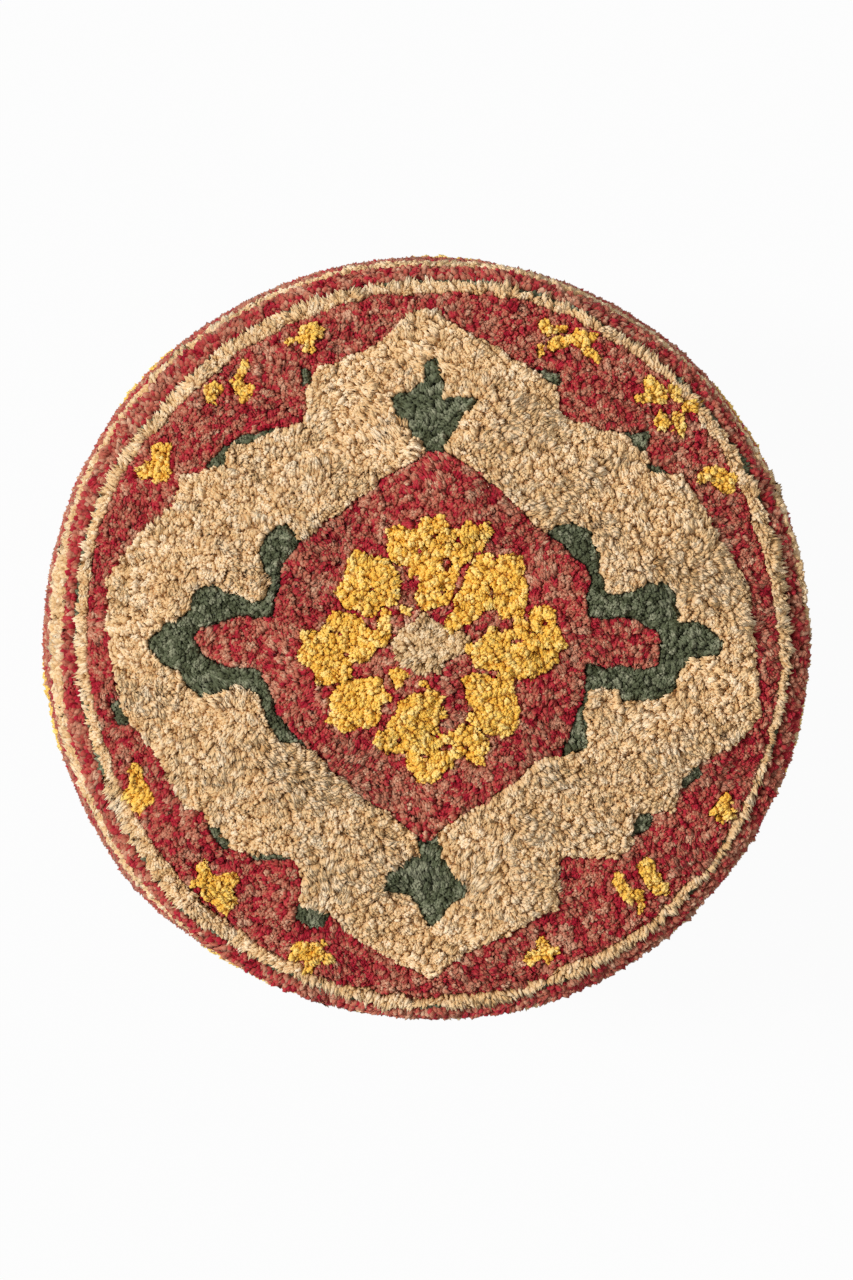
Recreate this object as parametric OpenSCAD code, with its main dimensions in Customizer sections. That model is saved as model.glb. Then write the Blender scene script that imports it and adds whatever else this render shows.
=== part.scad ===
// Round hand-tufted pouf: a carved pile cover with a crowned top panel, a bowed side
// wall and a zipped canvas base, over a separate filled insert.
// Millimetres, +Z up, the origin on the floor under the middle of the pouf.
// The pattern is drawn as seen from above, with +Y towards the top of the drawing.

/* [Overall size] */
// Widest diameter over the pile of the side wall
pouf_d = 500; // [480:5:540]
// Height from the floor to the top of the crown
pouf_h = 350; // [335:5:380]
// Height of the widest girth above the floor
girth_z = 165; // [155:1:175]
// Radius of the shallow crown of the top panel
crown_r = 800; // [760:10:900]
// Radius of the bow of the side wall, seen from the side
bow_r = 800; // [740:10:1000]
// Radius of the soft shoulder between the crown and the side wall
shoulder_r = 36; // [34:1:40]
// Radius of the soft foot between the side wall and the floor
foot_r = 36; // [32:1:40]

/* [Pile and cloth] */
// Length of the cut pile
pile_h = 13; // [11:0.5:14]
// Length of the short pile that lines the top seam
seam_pile_h = 9; // [6:0.5:10]
// Width of the groove carved between two colours
carve_w = 1.6; // [1:0.1:2]
// Thickness of the tufted backing cloth
backing_t = 2; // [1.8:0.1:2.4]
// Clearance between two layers of cloth that lie on each other
layer_gap = 0.3; // [0.25:0.05:0.4]
// Depth of the seam allowance that turns inwards at the top seam
allowance_h = 8; // [5:0.5:8.5]

/* [Stripes along the wall] */
// Lean of the top seam from the vertical, around the shoulder
seam_lean = 35; // [33:1:38]
// Width of the cream rim that ends the top panel
rim_w = 8.5; // [7:0.5:9]
// Width of the green line in the top seam
seam_w = 3; // [2.6:0.1:3.5]
// Width of the red band under the top seam and at its counterpart below
band_w = 11; // [9:0.5:13]
// Width of the cream stripes of the side wall
stripe_w = 10; // [8:0.5:12]
// Distance from the middle of the foot up to the lower cream stripe
foot_band_w = 66; // [60:1:75]

/* [Flowers] */
// Number of flowers around the side wall
wall_flowers = 7; // [5:1:9]
// Reach of a flower of the side wall, from its middle
wall_flower_r = 34; // [26:1:40]
// Height of the middle of the flowers of the side wall
wall_flower_z = 205; // [190:1:212]
// Bearing of the first flower of the side wall
wall_flower_turn = 35; // [0:1:51]
// Reach of a small rosette of the border, from its middle
small_rosette_r = 12; // [9:0.5:13]
// Reach of a large rosette of the border, from its middle
large_rosette_r = 17; // [13:0.5:18]

/* [Base] */
// Radius of the opening of the foot, where the canvas base shows
base_r = 182; // [176:1:190]
// Thickness of the base canvas
canvas_t = 1.5; // [1:0.1:2]
// Overlap of the canvas and the turned-in wall backing
base_seam_w = 10; // [7:0.5:14]
// Width of the slot between the two halves of the base
slot_w = 14; // [13.6:0.1:18]
// Length of the slot past each end of the chain of teeth
slot_spare = 12; // [8:0.5:14]

/* [Zip] */
// Length of the chain of teeth
chain_l = 280; // [220:10:300]
// Width of one zip tape
tape_w = 15; // [13:0.5:18]
// Thickness of the zip tape
tape_t = 0.6; // [0.5:0.1:0.8]
// Distance between two teeth of one side
tooth_pitch = 4; // [3.6:0.1:5]
// Thickness of the teeth
tooth_h = 2; // [1.8:0.1:2.2]
// Reach of a tooth past the middle of the chain
tooth_reach = 1.1; // [0.8:0.1:1.3]
// Half the width of the closed chain
chain_half_w = 3.2; // [3:0.1:3.4]
// Clearance between teeth, and between the slider and the chain
zip_gap = 0.25; // [0.2:0.05:0.3]
// Length of the slider
slider_l = 17; // [15:0.5:20]
// Width of the slider at its broad end
slider_w = 11.6; // [11:0.1:12]
// Thickness of each plate of the slider
plate_t = 1; // [0.8:0.1:1.2]
// Length of the pull tab from its pin to its end
pull_l = 24; // [18:1:28]
// Width of the pull tab
pull_w = 7; // [6:0.5:9]
// Thickness of the pull tab
pull_t = 1.4; // [1.2:0.1:1.8]
// Diameter of the pin that carries the pull tab
pin_d = 1.6; // [1.4:0.1:1.8]

/* [Insert] */
// Thickness of the cloth of the insert
liner_t = 1; // [0.6:0.1:1.4]
// Radius of the shoulder of the insert, fuller than the cover's to clear its seam allowance
insert_shoulder_r = 70; // [66:1:76]
// Radius of the foot of the insert
insert_foot_r = 30; // [26:1:36]

/* [Hidden] */
$fn = 96;

red = "firebrick";
cream = "burlywood";
green = "darkslategray";
gold = "goldenrod";

// Centres of the two long arcs of the profile, in the plane of radius and height
crown_c = [0, pouf_h - crown_r];
bow_c = [pouf_d / 2 - bow_r, girth_z];

// Where two circles meet, on the outer side
function meet(c1, r1, c2, r2) =
    let (span = norm(c2 - c1), along = (r1 * r1 - r2 * r2 + span * span) / (2 * span))
    let (across = sqrt(r1 * r1 - along * along), dir = (c2 - c1) / span)
    c1 + along * dir + across * [dir.y, -dir.x];

function bearing(from, to) = atan2(to.y - from.y, to.x - from.x);
function ray(c, r, a) = c + r * [cos(a), sin(a)];

// Centre of a shoulder of radius r that blends the crown and the bow, both moved out by d
function shoulder_c(d, r) = meet(crown_c, crown_r + d - r, bow_c, bow_r + d - r);
// Centre of a foot of radius r that blends the bow, moved out by d, and a flat at floor_z
function foot_c(d, r, floor_z) =
    [bow_c.x + sqrt(pow(bow_r + d - r, 2) - pow(floor_z + r - girth_z, 2)), floor_z + r];

// The filled half profile: crown, shoulder, bow, foot and flat, with blends of any radius
module half_profile(d, top_r, low_r, floor_z) {
    top_c = shoulder_c(d, top_r);
    low_c = foot_c(d, low_r, floor_z);
    crown_a = bearing(crown_c, top_c);
    bow_a = bearing(bow_c, top_c);
    heel_a = bearing(bow_c, low_c);
    spare = 30;
    lap = 4;
    intersection() {
        translate(crown_c) circle(crown_r + d, $fn = 720);
        polygon([[0, girth_z], top_c, ray(top_c, top_r + spare, crown_a), [0, pouf_h + spare]]);
    }
    intersection() {
        translate(top_c) circle(top_r);
        polygon([top_c, ray(top_c, 2 * top_r, crown_a + lap), ray(top_c, 2 * top_r, bow_a - lap)]);
    }
    intersection() {
        translate(bow_c) circle(bow_r + d, $fn = 720);
        polygon([[0, top_c.y], top_c, ray(top_c, top_r + spare, bow_a),
            ray(low_c, low_r + spare, heel_a), low_c, [0, low_c.y]]);
    }
    intersection() {
        translate(low_c) circle(low_r);
        polygon([low_c, ray(low_c, 2 * low_r, heel_a + lap), low_c + 2 * low_r * [1, -1],
            low_c - [lap, 2 * low_r]]);
    }
    translate([0, floor_z]) square([low_c.x, low_r + lap]);
}

// The cover's profile with every surface moved out by d, or in where d is negative
module cover_profile(d) half_profile(d, shoulder_r + d, foot_r + d, -d);
module cover_layer(d_out, d_in) difference() { cover_profile(d_out); cover_profile(d_in); }

cover_shoulder = shoulder_c(0, shoulder_r);
cover_foot = foot_c(0, foot_r, 0);
bow_top_a = bearing(bow_c, cover_shoulder);
bow_low_a = bearing(bow_c, cover_foot);
seam_a = 90 - seam_lean;
shoulder_l = (seam_a - bow_top_a) * PI / 180 * shoulder_r;
bow_l = (bow_top_a - bow_low_a) * PI / 180 * bow_r;
foot_l = (bow_low_a + 90) * PI / 180 * foot_r;

// Stations run along the outer surface, in millimetres down from the top seam.
// Each gives the centre and the bearing of the ray that crosses the surface there.
function station_c(s) =
    s < shoulder_l ? cover_shoulder : s < shoulder_l + bow_l ? bow_c
    : s < shoulder_l + bow_l + foot_l ? cover_foot
    : cover_foot - [s - shoulder_l - bow_l - foot_l, 0];
function station_a(s) =
    s < shoulder_l ? seam_a - s / shoulder_r * 180 / PI
    : s < shoulder_l + bow_l ? bow_top_a - (s - shoulder_l) / bow_r * 180 / PI
    : s < shoulder_l + bow_l + foot_l ? bow_low_a - (s - shoulder_l - bow_l) / foot_r * 180 / PI
    : -90;
function station_r(s) = s < shoulder_l ? shoulder_r : s < shoulder_l + bow_l ? bow_r : foot_r;
function at_station(s, d) = ray(station_c(s), station_r(s) + d, station_a(s));

// A ring of pile or cloth between two stations
module ring_layer(s1, s2, d_out, d_in) {
    steps = 8;
    reach = 14;
    along = [for (i = [0:steps]) s1 + (s2 - s1) * i / steps];
    rotate_extrude() intersection() {
        cover_layer(d_out, d_in);
        polygon(concat([for (s = along) at_station(s, reach)],
            [for (i = [steps:-1:0]) at_station(along[i], d_in - 4)]));
    }
}

// Stations of the stripes
rim_s = -seam_w / 2 - carve_w - rim_w;
rim_end_s = -seam_w / 2 - carve_w;
top_band_s = seam_w / 2 + carve_w;
upper_stripe_s = top_band_s + band_w + carve_w;
wall_field_s = upper_stripe_s + stripe_w + carve_w;
foot_mid_s = shoulder_l + bow_l + foot_l;
lower_stripe_s = foot_mid_s - foot_band_w;
wall_field_end_s = lower_stripe_s - carve_w;
bottom_band_s = lower_stripe_s + stripe_w + carve_w;
foot_edge_s = foot_mid_s + cover_foot.x - base_r;
rim_in_r = at_station(rim_s, 0).x;

// Layers, each as a distance in from the tips of the pile
backing_out = pile_h + layer_gap;
backing_in = backing_out + backing_t;
insert_out = backing_in + layer_gap;
// Levels of the base, upwards
flange_z = backing_out;
flange_top_z = backing_in;
panel_z = flange_z - layer_gap - canvas_t;
flange_r = base_r - base_seam_w;
tape_z = panel_z + canvas_t + layer_gap;
chain_z = tape_z + tape_t / 2;
outer_plate_z = chain_z - tooth_h / 2 - zip_gap - plate_t;
inner_plate_z = chain_z + tooth_h / 2 + zip_gap;
insert_z = max(flange_top_z, inner_plate_z + plate_t) + layer_gap;

// The pattern is drawn on a top panel whose rim starts at this radius, and follows the real one
drawn_r = 215;
art_scale = rim_in_r / drawn_r;

field_outline = [
    [-2, 206], [48, 176], [68, 165], [77, 157], [79, 143], [85, 135], [121, 127], [130, 119],
    [137, 109], [146, 104], [157, 105], [162, 89], [185, 53], [194, 38], [198, 2], [205, -30],
    [205, -46], [195, -57], [165, -76], [157, -84], [151, -105], [134, -106], [126, -112],
    [124, -126], [116, -134], [83, -134], [78, -144], [79, -167], [68, -170], [42, -184],
    [23, -194], [8, -205], [-1, -209], [-16, -202], [-46, -184], [-69, -165], [-80, -162],
    [-79, -143], [-84, -135], [-112, -132], [-126, -127], [-140, -107], [-153, -102],
    [-164, -79], [-192, -41], [-199, 6], [-200, 37], [-186, 59], [-159, 81], [-152, 101],
    [-130, 107], [-121, 122], [-107, 127], [-78, 134], [-74, 163], [-68, 168], [-43, 177],
    [-30, 185], [-16, 197]
];
medallion_outline = [
    [0, 116], [9, 116], [17, 113], [44, 94], [69, 67], [90, 50], [97, 43], [96, 15],
    [122, 14], [138, 9], [143, 0], [142, -14], [134, -16], [97, -15], [93, -39], [82, -70],
    [69, -71], [37, -98], [19, -109], [-3, -126], [-27, -106], [-43, -96], [-76, -68],
    [-96, -43], [-100, -27], [-107, -18], [-128, -16], [-141, -7], [-147, 2], [-143, 9],
    [-120, 16], [-97, 15], [-92, 47], [-74, 67], [-43, 91], [-16, 108]
];
petal_outlines = [
    [[-27, 57], [-24, 67], [-11, 68], [-5, 76], [9, 77], [14, 70], [34, 71], [36, 64],
        [24, 50], [12, 23], [-6, 21], [-12, 41]],
    [[30, 51], [50, 51], [60, 38], [60, 28], [50, 17], [34, 18], [19, 8], [13, 11],
        [16, 22], [25, 38]],
    [[54, 13], [74, 22], [80, 4], [78, -9], [69, -18], [51, -23], [29, -14], [22, -7],
        [30, 5], [47, 7]],
    [[19, -22], [42, -21], [53, -29], [55, -48], [49, -58], [38, -58], [24, -49], [22, -35]],
    [[-11, -33], [2, -31], [9, -36], [11, -50], [29, -57], [34, -63], [29, -77], [15, -71],
        [6, -85], [-10, -88], [-15, -66], [-30, -66], [-34, -60], [-26, -53], [-20, -42]],
    [[-55, -29], [-45, -24], [-30, -25], [-19, -37], [-31, -44], [-34, -52], [-54, -56],
        [-60, -43]],
    [[-64, 19], [-55, 19], [-41, 7], [-28, 1], [-34, -6], [-41, -12], [-49, -22],
        [-67, -28], [-73, -13], [-80, -7], [-78, 3], [-66, 5]],
    [[-50, 44], [-45, 54], [-38, 48], [-25, 48], [-19, 36], [-24, 26], [-26, 9],
        [-33, 13], [-52, 23], [-56, 34]]
];
flower_centre_outline = [
    [-4, 17], [12, 7], [23, 0], [12, -9], [2, -20], [-9, -12], [-23, -3], [-18, 9]
];
leaf_north_outline = [
    [-1, 175], [6, 175], [10, 157], [9, 150], [30, 150], [26, 143], [19, 138], [14, 128],
    [9, 110], [-2, 110], [-5, 122], [-21, 139], [-25, 150], [-13, 154], [-5, 160], [-5, 169]
];
leaf_south_outline = [
    [-8, -116], [4, -116], [8, -134], [15, -144], [25, -151], [22, -158], [12, -162],
    [8, -170], [3, -179], [-1, -179], [-8, -164], [-14, -158], [-32, -157], [-30, -148],
    [-21, -140], [-8, -131]
];
leaf_east_outline = [
    [60, 60], [77, 70], [85, 74], [94, 73], [101, 67], [105, 47], [106, 36], [110, 29],
    [119, 29], [135, 37], [145, 36], [151, 31], [152, 20], [155, 12], [163, 12], [174, 7],
    [183, -1], [179, -7], [160, -13], [154, -19], [150, -31], [142, -36], [119, -36],
    [116, -30], [97, -29], [95, -43], [98, -52], [96, -67], [86, -71], [60, -60]
];
leaf_west_outline = [
    [-60, 60], [-79, 62], [-90, 72], [-99, 70], [-105, 55], [-101, 29], [-110, 25],
    [-128, 33], [-140, 36], [-147, 32], [-150, 21], [-159, 14], [-176, 2], [-175, -6],
    [-165, -15], [-155, -19], [-150, -30], [-139, -37], [-124, -33], [-117, -29],
    [-107, -32], [-99, -55], [-93, -62], [-84, -63], [-74, -72], [-60, -60]
];
edge_leaf_outlines = [
    [[62, 169], [79, 165], [79, 158], [72, 161]],
    [[119, 130], [136, 128], [135, 115], [129, 117]],
    [[133, 112], [139, 112], [150, 107], [142, 101]],
    [[155, -86], [165, -76], [168, -82], [158, -93]],
    [[124, -122], [127, -108], [139, -107], [129, -126]],
    [[-83, -163], [-70, -164], [-62, -171], [-72, -175], [-83, -173]],
    [[-136, -114], [-131, -115], [-124, -125], [-131, -129]],
    [[-123, -128], [-99, -132], [-85, -134], [-98, -139], [-113, -135]],
    [[-196, -32], [-187, -51], [-194, -52], [-199, -40]],
    [[-139, 107], [-127, 121], [-109, 129], [-97, 132], [-120, 121], [-130, 106]]
];
// Middle, bearing and kind of each rosette of the border
small = 0;
large = 1;
rosettes = [
    [[-78, 187], 20, small], [[-123, 158], 60, large], [[-168, 111], 80, small],
    [[-181, -91], 10, small], [[-132, -151], 40, large], [[-77, -193], 70, small],
    [[69, -192], 30, small], [[131, -149], 15, large], [[178, -105], 50, small],
    [[178, 98], 45, small], [[144, 145], 25, large], [[85, 185], 0, small]
];

module drawn(outlines) scale(art_scale) for (points = outlines) polygon(points);
module carved() offset(delta = carve_w) children();

// A round of blunt petals: three points to each
function petal_ring(reach, waist, petals, blunt) = [
    for (i = [0:petals - 1]) for (turn = [[waist, -0.5], [reach, -blunt], [reach, blunt]])
    turn[0] * [cos((i + turn[1]) * 360 / petals), sin((i + turn[1]) * 360 / petals)]
];

module rosette_shapes() {
    intersection() {
        for (flower = rosettes) {
            reach = flower[2] == large ? large_rosette_r : small_rosette_r;
            translate(art_scale * flower[0]) rotate(flower[1])
                polygon(petal_ring(reach, reach * 0.45, 5, 0.22));
        }
        circle(rim_in_r - 4 * carve_w);
    }
}
module leaf_shapes() {
    drawn([leaf_north_outline, leaf_south_outline, leaf_east_outline, leaf_west_outline]);
}

// Pile on the crowned top panel, under a flat shape
module on_crown() {
    intersection() {
        rotate_extrude() intersection() {
            cover_layer(0, -pile_h);
            polygon([[0, cover_shoulder.y], cover_shoulder, at_station(rim_s, 14),
                [0, pouf_h + 14]]);
        }
        translate([0, 0, cover_shoulder.y]) linear_extrude(pouf_h) children();
    }
}

module field_pile() {
    color(cream) on_crown() difference() {
        drawn([field_outline]);
        carved() drawn([medallion_outline]);
        carved() leaf_shapes();
        carved() drawn(edge_leaf_outlines);
    }
}
module medallion_pile() {
    color(red) on_crown() difference() {
        drawn([medallion_outline]);
        carved() drawn(petal_outlines);
        carved() drawn([flower_centre_outline]);
    }
}
module petal_pile() color(gold) on_crown() drawn(petal_outlines);
module flower_centre_pile() color("antiquewhite") on_crown() drawn([flower_centre_outline]);
module leaf(outline) {
    color(green) on_crown() difference() {
        drawn([outline]);
        carved() drawn([medallion_outline]);
    }
}
module leaf_north_pile() leaf(leaf_north_outline);
module leaf_south_pile() leaf(leaf_south_outline);
module leaf_east_pile() leaf(leaf_east_outline);
module leaf_west_pile() leaf(leaf_west_outline);
module edge_leaf_pile() color(green) on_crown() drawn(edge_leaf_outlines);
module border_pile() {
    color(red) on_crown() difference() {
        circle(rim_in_r - carve_w);
        carved() drawn([field_outline]);
        carved() drawn(edge_leaf_outlines);
        carved() rosette_shapes();
    }
}
module rosette_pile() color(gold) on_crown() rosette_shapes();
module rim_pile() color(cream) ring_layer(rim_s, rim_end_s, 0, -pile_h);

// Half plane on one side of the top seam, where side is 1 above it and -1 below it
module seam_side(side) {
    far = 2 * pouf_d;
    translate(cover_shoulder) rotate(seam_a)
        translate([-far, side > 0 ? layer_gap / 2 : -layer_gap / 2 - far]) square([2 * far, far]);
}
// Seam allowance that turns inwards along the top seam
module allowance(side) {
    translate(cover_shoulder) rotate(seam_a)
        translate([shoulder_r - backing_in - allowance_h,
            side > 0 ? layer_gap / 2 : -layer_gap / 2 - backing_t])
        square([allowance_h + backing_t / 2, backing_t]);
}
module top_backing() {
    color("linen") rotate_extrude() {
        intersection() {
            cover_layer(-backing_out, -backing_in);
            seam_side(1);
            translate([0, cover_shoulder.y]) square([pouf_d, pouf_h]);
        }
        allowance(1);
    }
}

module seam_line_pile() {
    color(green) ring_layer(-seam_w / 2, seam_w / 2, -pile_h + seam_pile_h, -pile_h);
}
module wall_top_band_pile() {
    color(red) ring_layer(top_band_s, top_band_s + band_w, 0, -pile_h);
}
module wall_upper_stripe_pile() {
    color(cream) ring_layer(upper_stripe_s, upper_stripe_s + stripe_w, 0, -pile_h);
}
// Radial bars with the outline of the wall's flowers
module wall_flower_bars() {
    for (i = [0:wall_flowers - 1]) rotate(wall_flower_turn + i * 360 / wall_flowers)
        translate([0, 0, wall_flower_z]) rotate([90, 0, 90]) linear_extrude(pouf_d)
            children();
}
module wall_flower_shape() polygon(petal_ring(wall_flower_r, wall_flower_r * 0.5, 6, 0.28));
module wall_field_pile() {
    color(red) difference() {
        ring_layer(wall_field_s, wall_field_end_s, 0, -pile_h);
        wall_flower_bars() carved() wall_flower_shape();
    }
}
module wall_flower_pile() {
    color(gold) intersection() {
        ring_layer(wall_field_s, wall_field_end_s, 0, -pile_h);
        wall_flower_bars() wall_flower_shape();
    }
}
module wall_lower_stripe_pile() {
    color(cream) ring_layer(lower_stripe_s, lower_stripe_s + stripe_w, 0, -pile_h);
}
module wall_bottom_band_pile() color(red) ring_layer(bottom_band_s, foot_edge_s, 0, -pile_h);
module wall_backing() {
    color("linen") rotate_extrude() {
        difference() {
            intersection() {
                cover_layer(-backing_out, -backing_in);
                seam_side(-1);
            }
            square([flange_r, 2 * backing_in]);
        }
        allowance(-1);
    }
}

// Half of the round base: side is 1 behind the zip and -1 in front of it.
// The halves meet at both ends of the slot that shows the zip.
module base_half(side) {
    color("tan") in_front(side) translate([0, 0, panel_z]) linear_extrude(canvas_t) difference() {
        circle(base_r - layer_gap);
        translate([-pouf_d / 2, layer_gap / 2 - pouf_d]) square(pouf_d);
        square([chain_l + 2 * slot_spare, slot_w], center = true);
    }
}
module base_panel_back() base_half(1);
module base_panel_front() base_half(-1);

module in_front(side) mirror([0, side > 0 ? 0 : 1, 0]) children();

// A zip tape runs along the slot, past both of its ends, and stops short of the wall's flange
module zip_tape(side) {
    tape_l = 2 * (flange_r - tape_w / 2);
    color("dimgray") in_front(side) translate([-tape_l / 2, chain_half_w, tape_z])
        cube([tape_l, tape_w, tape_t]);
}
module zip_tape_back() zip_tape(1);
module zip_tape_front() zip_tape(-1);

// One side of the chain: a bead along the tape's edge with teeth that reach over the middle
module zip_teeth(side) {
    teeth = floor(chain_l / tooth_pitch - 0.5);
    tooth_w = tooth_pitch / 2 - zip_gap;
    neck_y = tooth_reach + 0.9;
    tip = 0.3;
    shift = side > 0 ? 0 : tooth_pitch / 2;
    start = -chain_l / 2 + zip_gap;
    outline = concat([[start, chain_half_w], [start, neck_y]],
        [for (i = [0:teeth - 1]) let (x = start + shift + i * tooth_pitch)
            for (p = [[0, neck_y], [0, tip - tooth_reach], [tip, -tooth_reach],
                [tooth_w - tip, -tooth_reach], [tooth_w, tip - tooth_reach], [tooth_w, neck_y]])
            [x, 0] + p],
        [[chain_l / 2, neck_y], [chain_l / 2, chain_half_w]]);
    color("darkslategray") in_front(side) translate([0, 0, chain_z - tooth_h / 2])
        linear_extrude(tooth_h) polygon(outline);
}
module zip_teeth_back() zip_teeth(1);
module zip_teeth_front() zip_teeth(-1);

stop_l = 2;
wedge_w = 1.8;
wedge_l = 3;
module zip_top_stops() {
    inner_y = wedge_w / 2 + 2 * zip_gap;
    color("silver") for (side = [1, -1]) in_front(side)
        translate([chain_l / 2 + zip_gap, inner_y, chain_z - tooth_h / 2])
        cube([stop_l, chain_half_w - inner_y, tooth_h]);
}
module zip_bottom_stop() {
    color("silver") translate([-chain_l / 2 - stop_l, -chain_half_w, chain_z - tooth_h / 2 - zip_gap])
        cube([stop_l, 2 * chain_half_w, tooth_h + 2 * zip_gap]);
}

// The slider rests at the closed end, with its wedge just past the last tooth
wedge_x = chain_l / 2 + 2 * zip_gap;
slider_nose_x = wedge_x + wedge_l + 1;
slider_tail_x = slider_nose_x - slider_l;
pin_x = slider_tail_x + slider_l * 0.6;
pin_gap = 0.2;
eye_r = pin_d / 2 + pin_gap + 1.2;
eye_w = 3;
lug_t = 1.2;
lug_r = pin_d / 2 + 1;
pin_z = outer_plate_z - eye_r - layer_gap;
rail_gap = 0.35;
slider_tail_w = 2 * (chain_half_w + rail_gap) + 2 * lug_t;

module slider_plan() {
    polygon([[slider_tail_x, -slider_tail_w / 2], [slider_nose_x - wedge_l, -slider_w / 2],
        [slider_nose_x, -slider_w / 2 + 2], [slider_nose_x, slider_w / 2 - 2],
        [slider_nose_x - wedge_l, slider_w / 2], [slider_tail_x, slider_tail_w / 2]]);
}
module slider_rails() {
    difference() {
        slider_plan();
        translate([slider_tail_x - 1, -chain_half_w - rail_gap])
            square([slider_l + 2, 2 * (chain_half_w + rail_gap)]);
    }
}
module zip_slider() {
    rail_h = tape_z - rail_gap - outer_plate_z - plate_t;
    color("silver") {
        translate([0, 0, outer_plate_z]) linear_extrude(plate_t) slider_plan();
        translate([0, 0, inner_plate_z]) linear_extrude(plate_t) slider_plan();
        translate([0, 0, outer_plate_z]) linear_extrude(plate_t + rail_h) slider_rails();
        translate([0, 0, inner_plate_z - rail_h]) linear_extrude(plate_t + rail_h) slider_rails();
        translate([0, 0, outer_plate_z]) linear_extrude(inner_plate_z - outer_plate_z + plate_t)
            polygon([[wedge_x, 0], [wedge_x + wedge_l, -wedge_w / 2], [wedge_x + wedge_l, wedge_w / 2]]);
        for (side = [1, -1]) in_front(side) translate([pin_x, eye_w / 2 + zip_gap, pin_z]) {
            rotate([-90, 0, 0]) cylinder(r = lug_r, h = lug_t);
            translate([-lug_r, 0, 0]) cube([2 * lug_r, lug_t, outer_plate_z - pin_z + plate_t / 2]);
        }
        translate([pin_x, -eye_w / 2 - zip_gap - lug_t / 2, pin_z]) rotate([-90, 0, 0])
            cylinder(d = pin_d, h = eye_w + 2 * zip_gap + lug_t);
    }
}
module zip_pull() {
    neck_l = lug_r + 1.2;
    end_r = pull_w / 2;
    color("silver") translate([pin_x, 0, pin_z]) difference() {
        union() {
            translate([0, -eye_w / 2, 0]) rotate([-90, 0, 0]) cylinder(r = eye_r, h = eye_w);
            translate([0, 0, -pull_t / 2]) linear_extrude(pull_t) {
                translate([-neck_l - 1, -eye_w / 2]) square([neck_l + 1, eye_w]);
                polygon([[-neck_l, -eye_w / 2], [-neck_l, eye_w / 2], [-neck_l - 3, end_r],
                    [end_r - pull_l, end_r], [end_r - pull_l, -end_r], [-neck_l - 3, -end_r]]);
                translate([end_r - pull_l, 0]) circle(end_r);
            }
        }
        translate([0, -pouf_h / 2, 0]) rotate([-90, 0, 0]) cylinder(d = pin_d + 2 * pin_gap, h = pouf_h);
        translate([end_r - pull_l, 0, -pull_t]) cylinder(r = end_r - 1.6, h = 2 * pull_t);
    }
}

// The insert: a closed cushion that fills the cover and stands on the turned-in wall backing
module insert_profile(d) {
    half_profile(d - insert_out, insert_shoulder_r + d, insert_foot_r + d, insert_z - d);
}
insert_shoulder = shoulder_c(-insert_out, insert_shoulder_r);
insert_foot = foot_c(-insert_out, insert_foot_r, insert_z);
insert_seam_z = insert_shoulder.y + insert_shoulder_r / 2;

module insert_part(from, size) {
    color("whitesmoke") rotate_extrude() intersection() {
        difference() {
            insert_profile(0);
            insert_profile(-liner_t);
        }
        translate(from) square(size);
    }
}
module insert_top() insert_part([0, insert_seam_z + layer_gap], [pouf_d, pouf_h]);
module insert_wall() {
    color("whitesmoke") rotate_extrude() intersection() {
        difference() {
            insert_profile(0);
            insert_profile(-liner_t);
        }
        translate([insert_foot.x + layer_gap, 0]) square([pouf_d, insert_seam_z]);
    }
}
module insert_base() insert_part([0, 0], [insert_foot.x, insert_z + liner_t + layer_gap / 2]);
module insert_fill() color("ivory") rotate_extrude() insert_profile(-liner_t - layer_gap);

field_pile();
medallion_pile();
petal_pile();
flower_centre_pile();
leaf_north_pile();
leaf_south_pile();
leaf_east_pile();
leaf_west_pile();
edge_leaf_pile();
border_pile();
rosette_pile();
rim_pile();
top_backing();
seam_line_pile();
wall_top_band_pile();
wall_upper_stripe_pile();
wall_field_pile();
wall_flower_pile();
wall_lower_stripe_pile();
wall_bottom_band_pile();
wall_backing();
base_panel_front();
base_panel_back();
zip_tape_front();
zip_tape_back();
zip_teeth_front();
zip_teeth_back();
zip_top_stops();
zip_bottom_stop();
zip_slider();
zip_pull();
insert_top();
insert_wall();
insert_base();
insert_fill();
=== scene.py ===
"""Round hand-tufted pouf: a cover of cut yarns, a canvas base with a zip, and an insert."""
import math
from itertools import product

import bpy
import numpy as np
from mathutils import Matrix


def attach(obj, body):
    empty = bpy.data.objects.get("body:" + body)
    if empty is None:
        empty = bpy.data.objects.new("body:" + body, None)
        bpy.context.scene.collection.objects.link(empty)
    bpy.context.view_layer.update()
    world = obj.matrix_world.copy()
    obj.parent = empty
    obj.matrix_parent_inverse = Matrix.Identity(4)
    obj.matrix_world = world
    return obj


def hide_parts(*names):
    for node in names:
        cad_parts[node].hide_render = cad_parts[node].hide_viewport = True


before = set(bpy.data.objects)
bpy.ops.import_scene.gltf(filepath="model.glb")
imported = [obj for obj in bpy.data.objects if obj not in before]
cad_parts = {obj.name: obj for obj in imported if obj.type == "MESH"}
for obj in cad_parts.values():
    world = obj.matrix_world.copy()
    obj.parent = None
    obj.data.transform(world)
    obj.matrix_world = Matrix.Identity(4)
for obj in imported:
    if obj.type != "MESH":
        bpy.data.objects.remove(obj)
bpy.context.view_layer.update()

MM = 0.001

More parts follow.
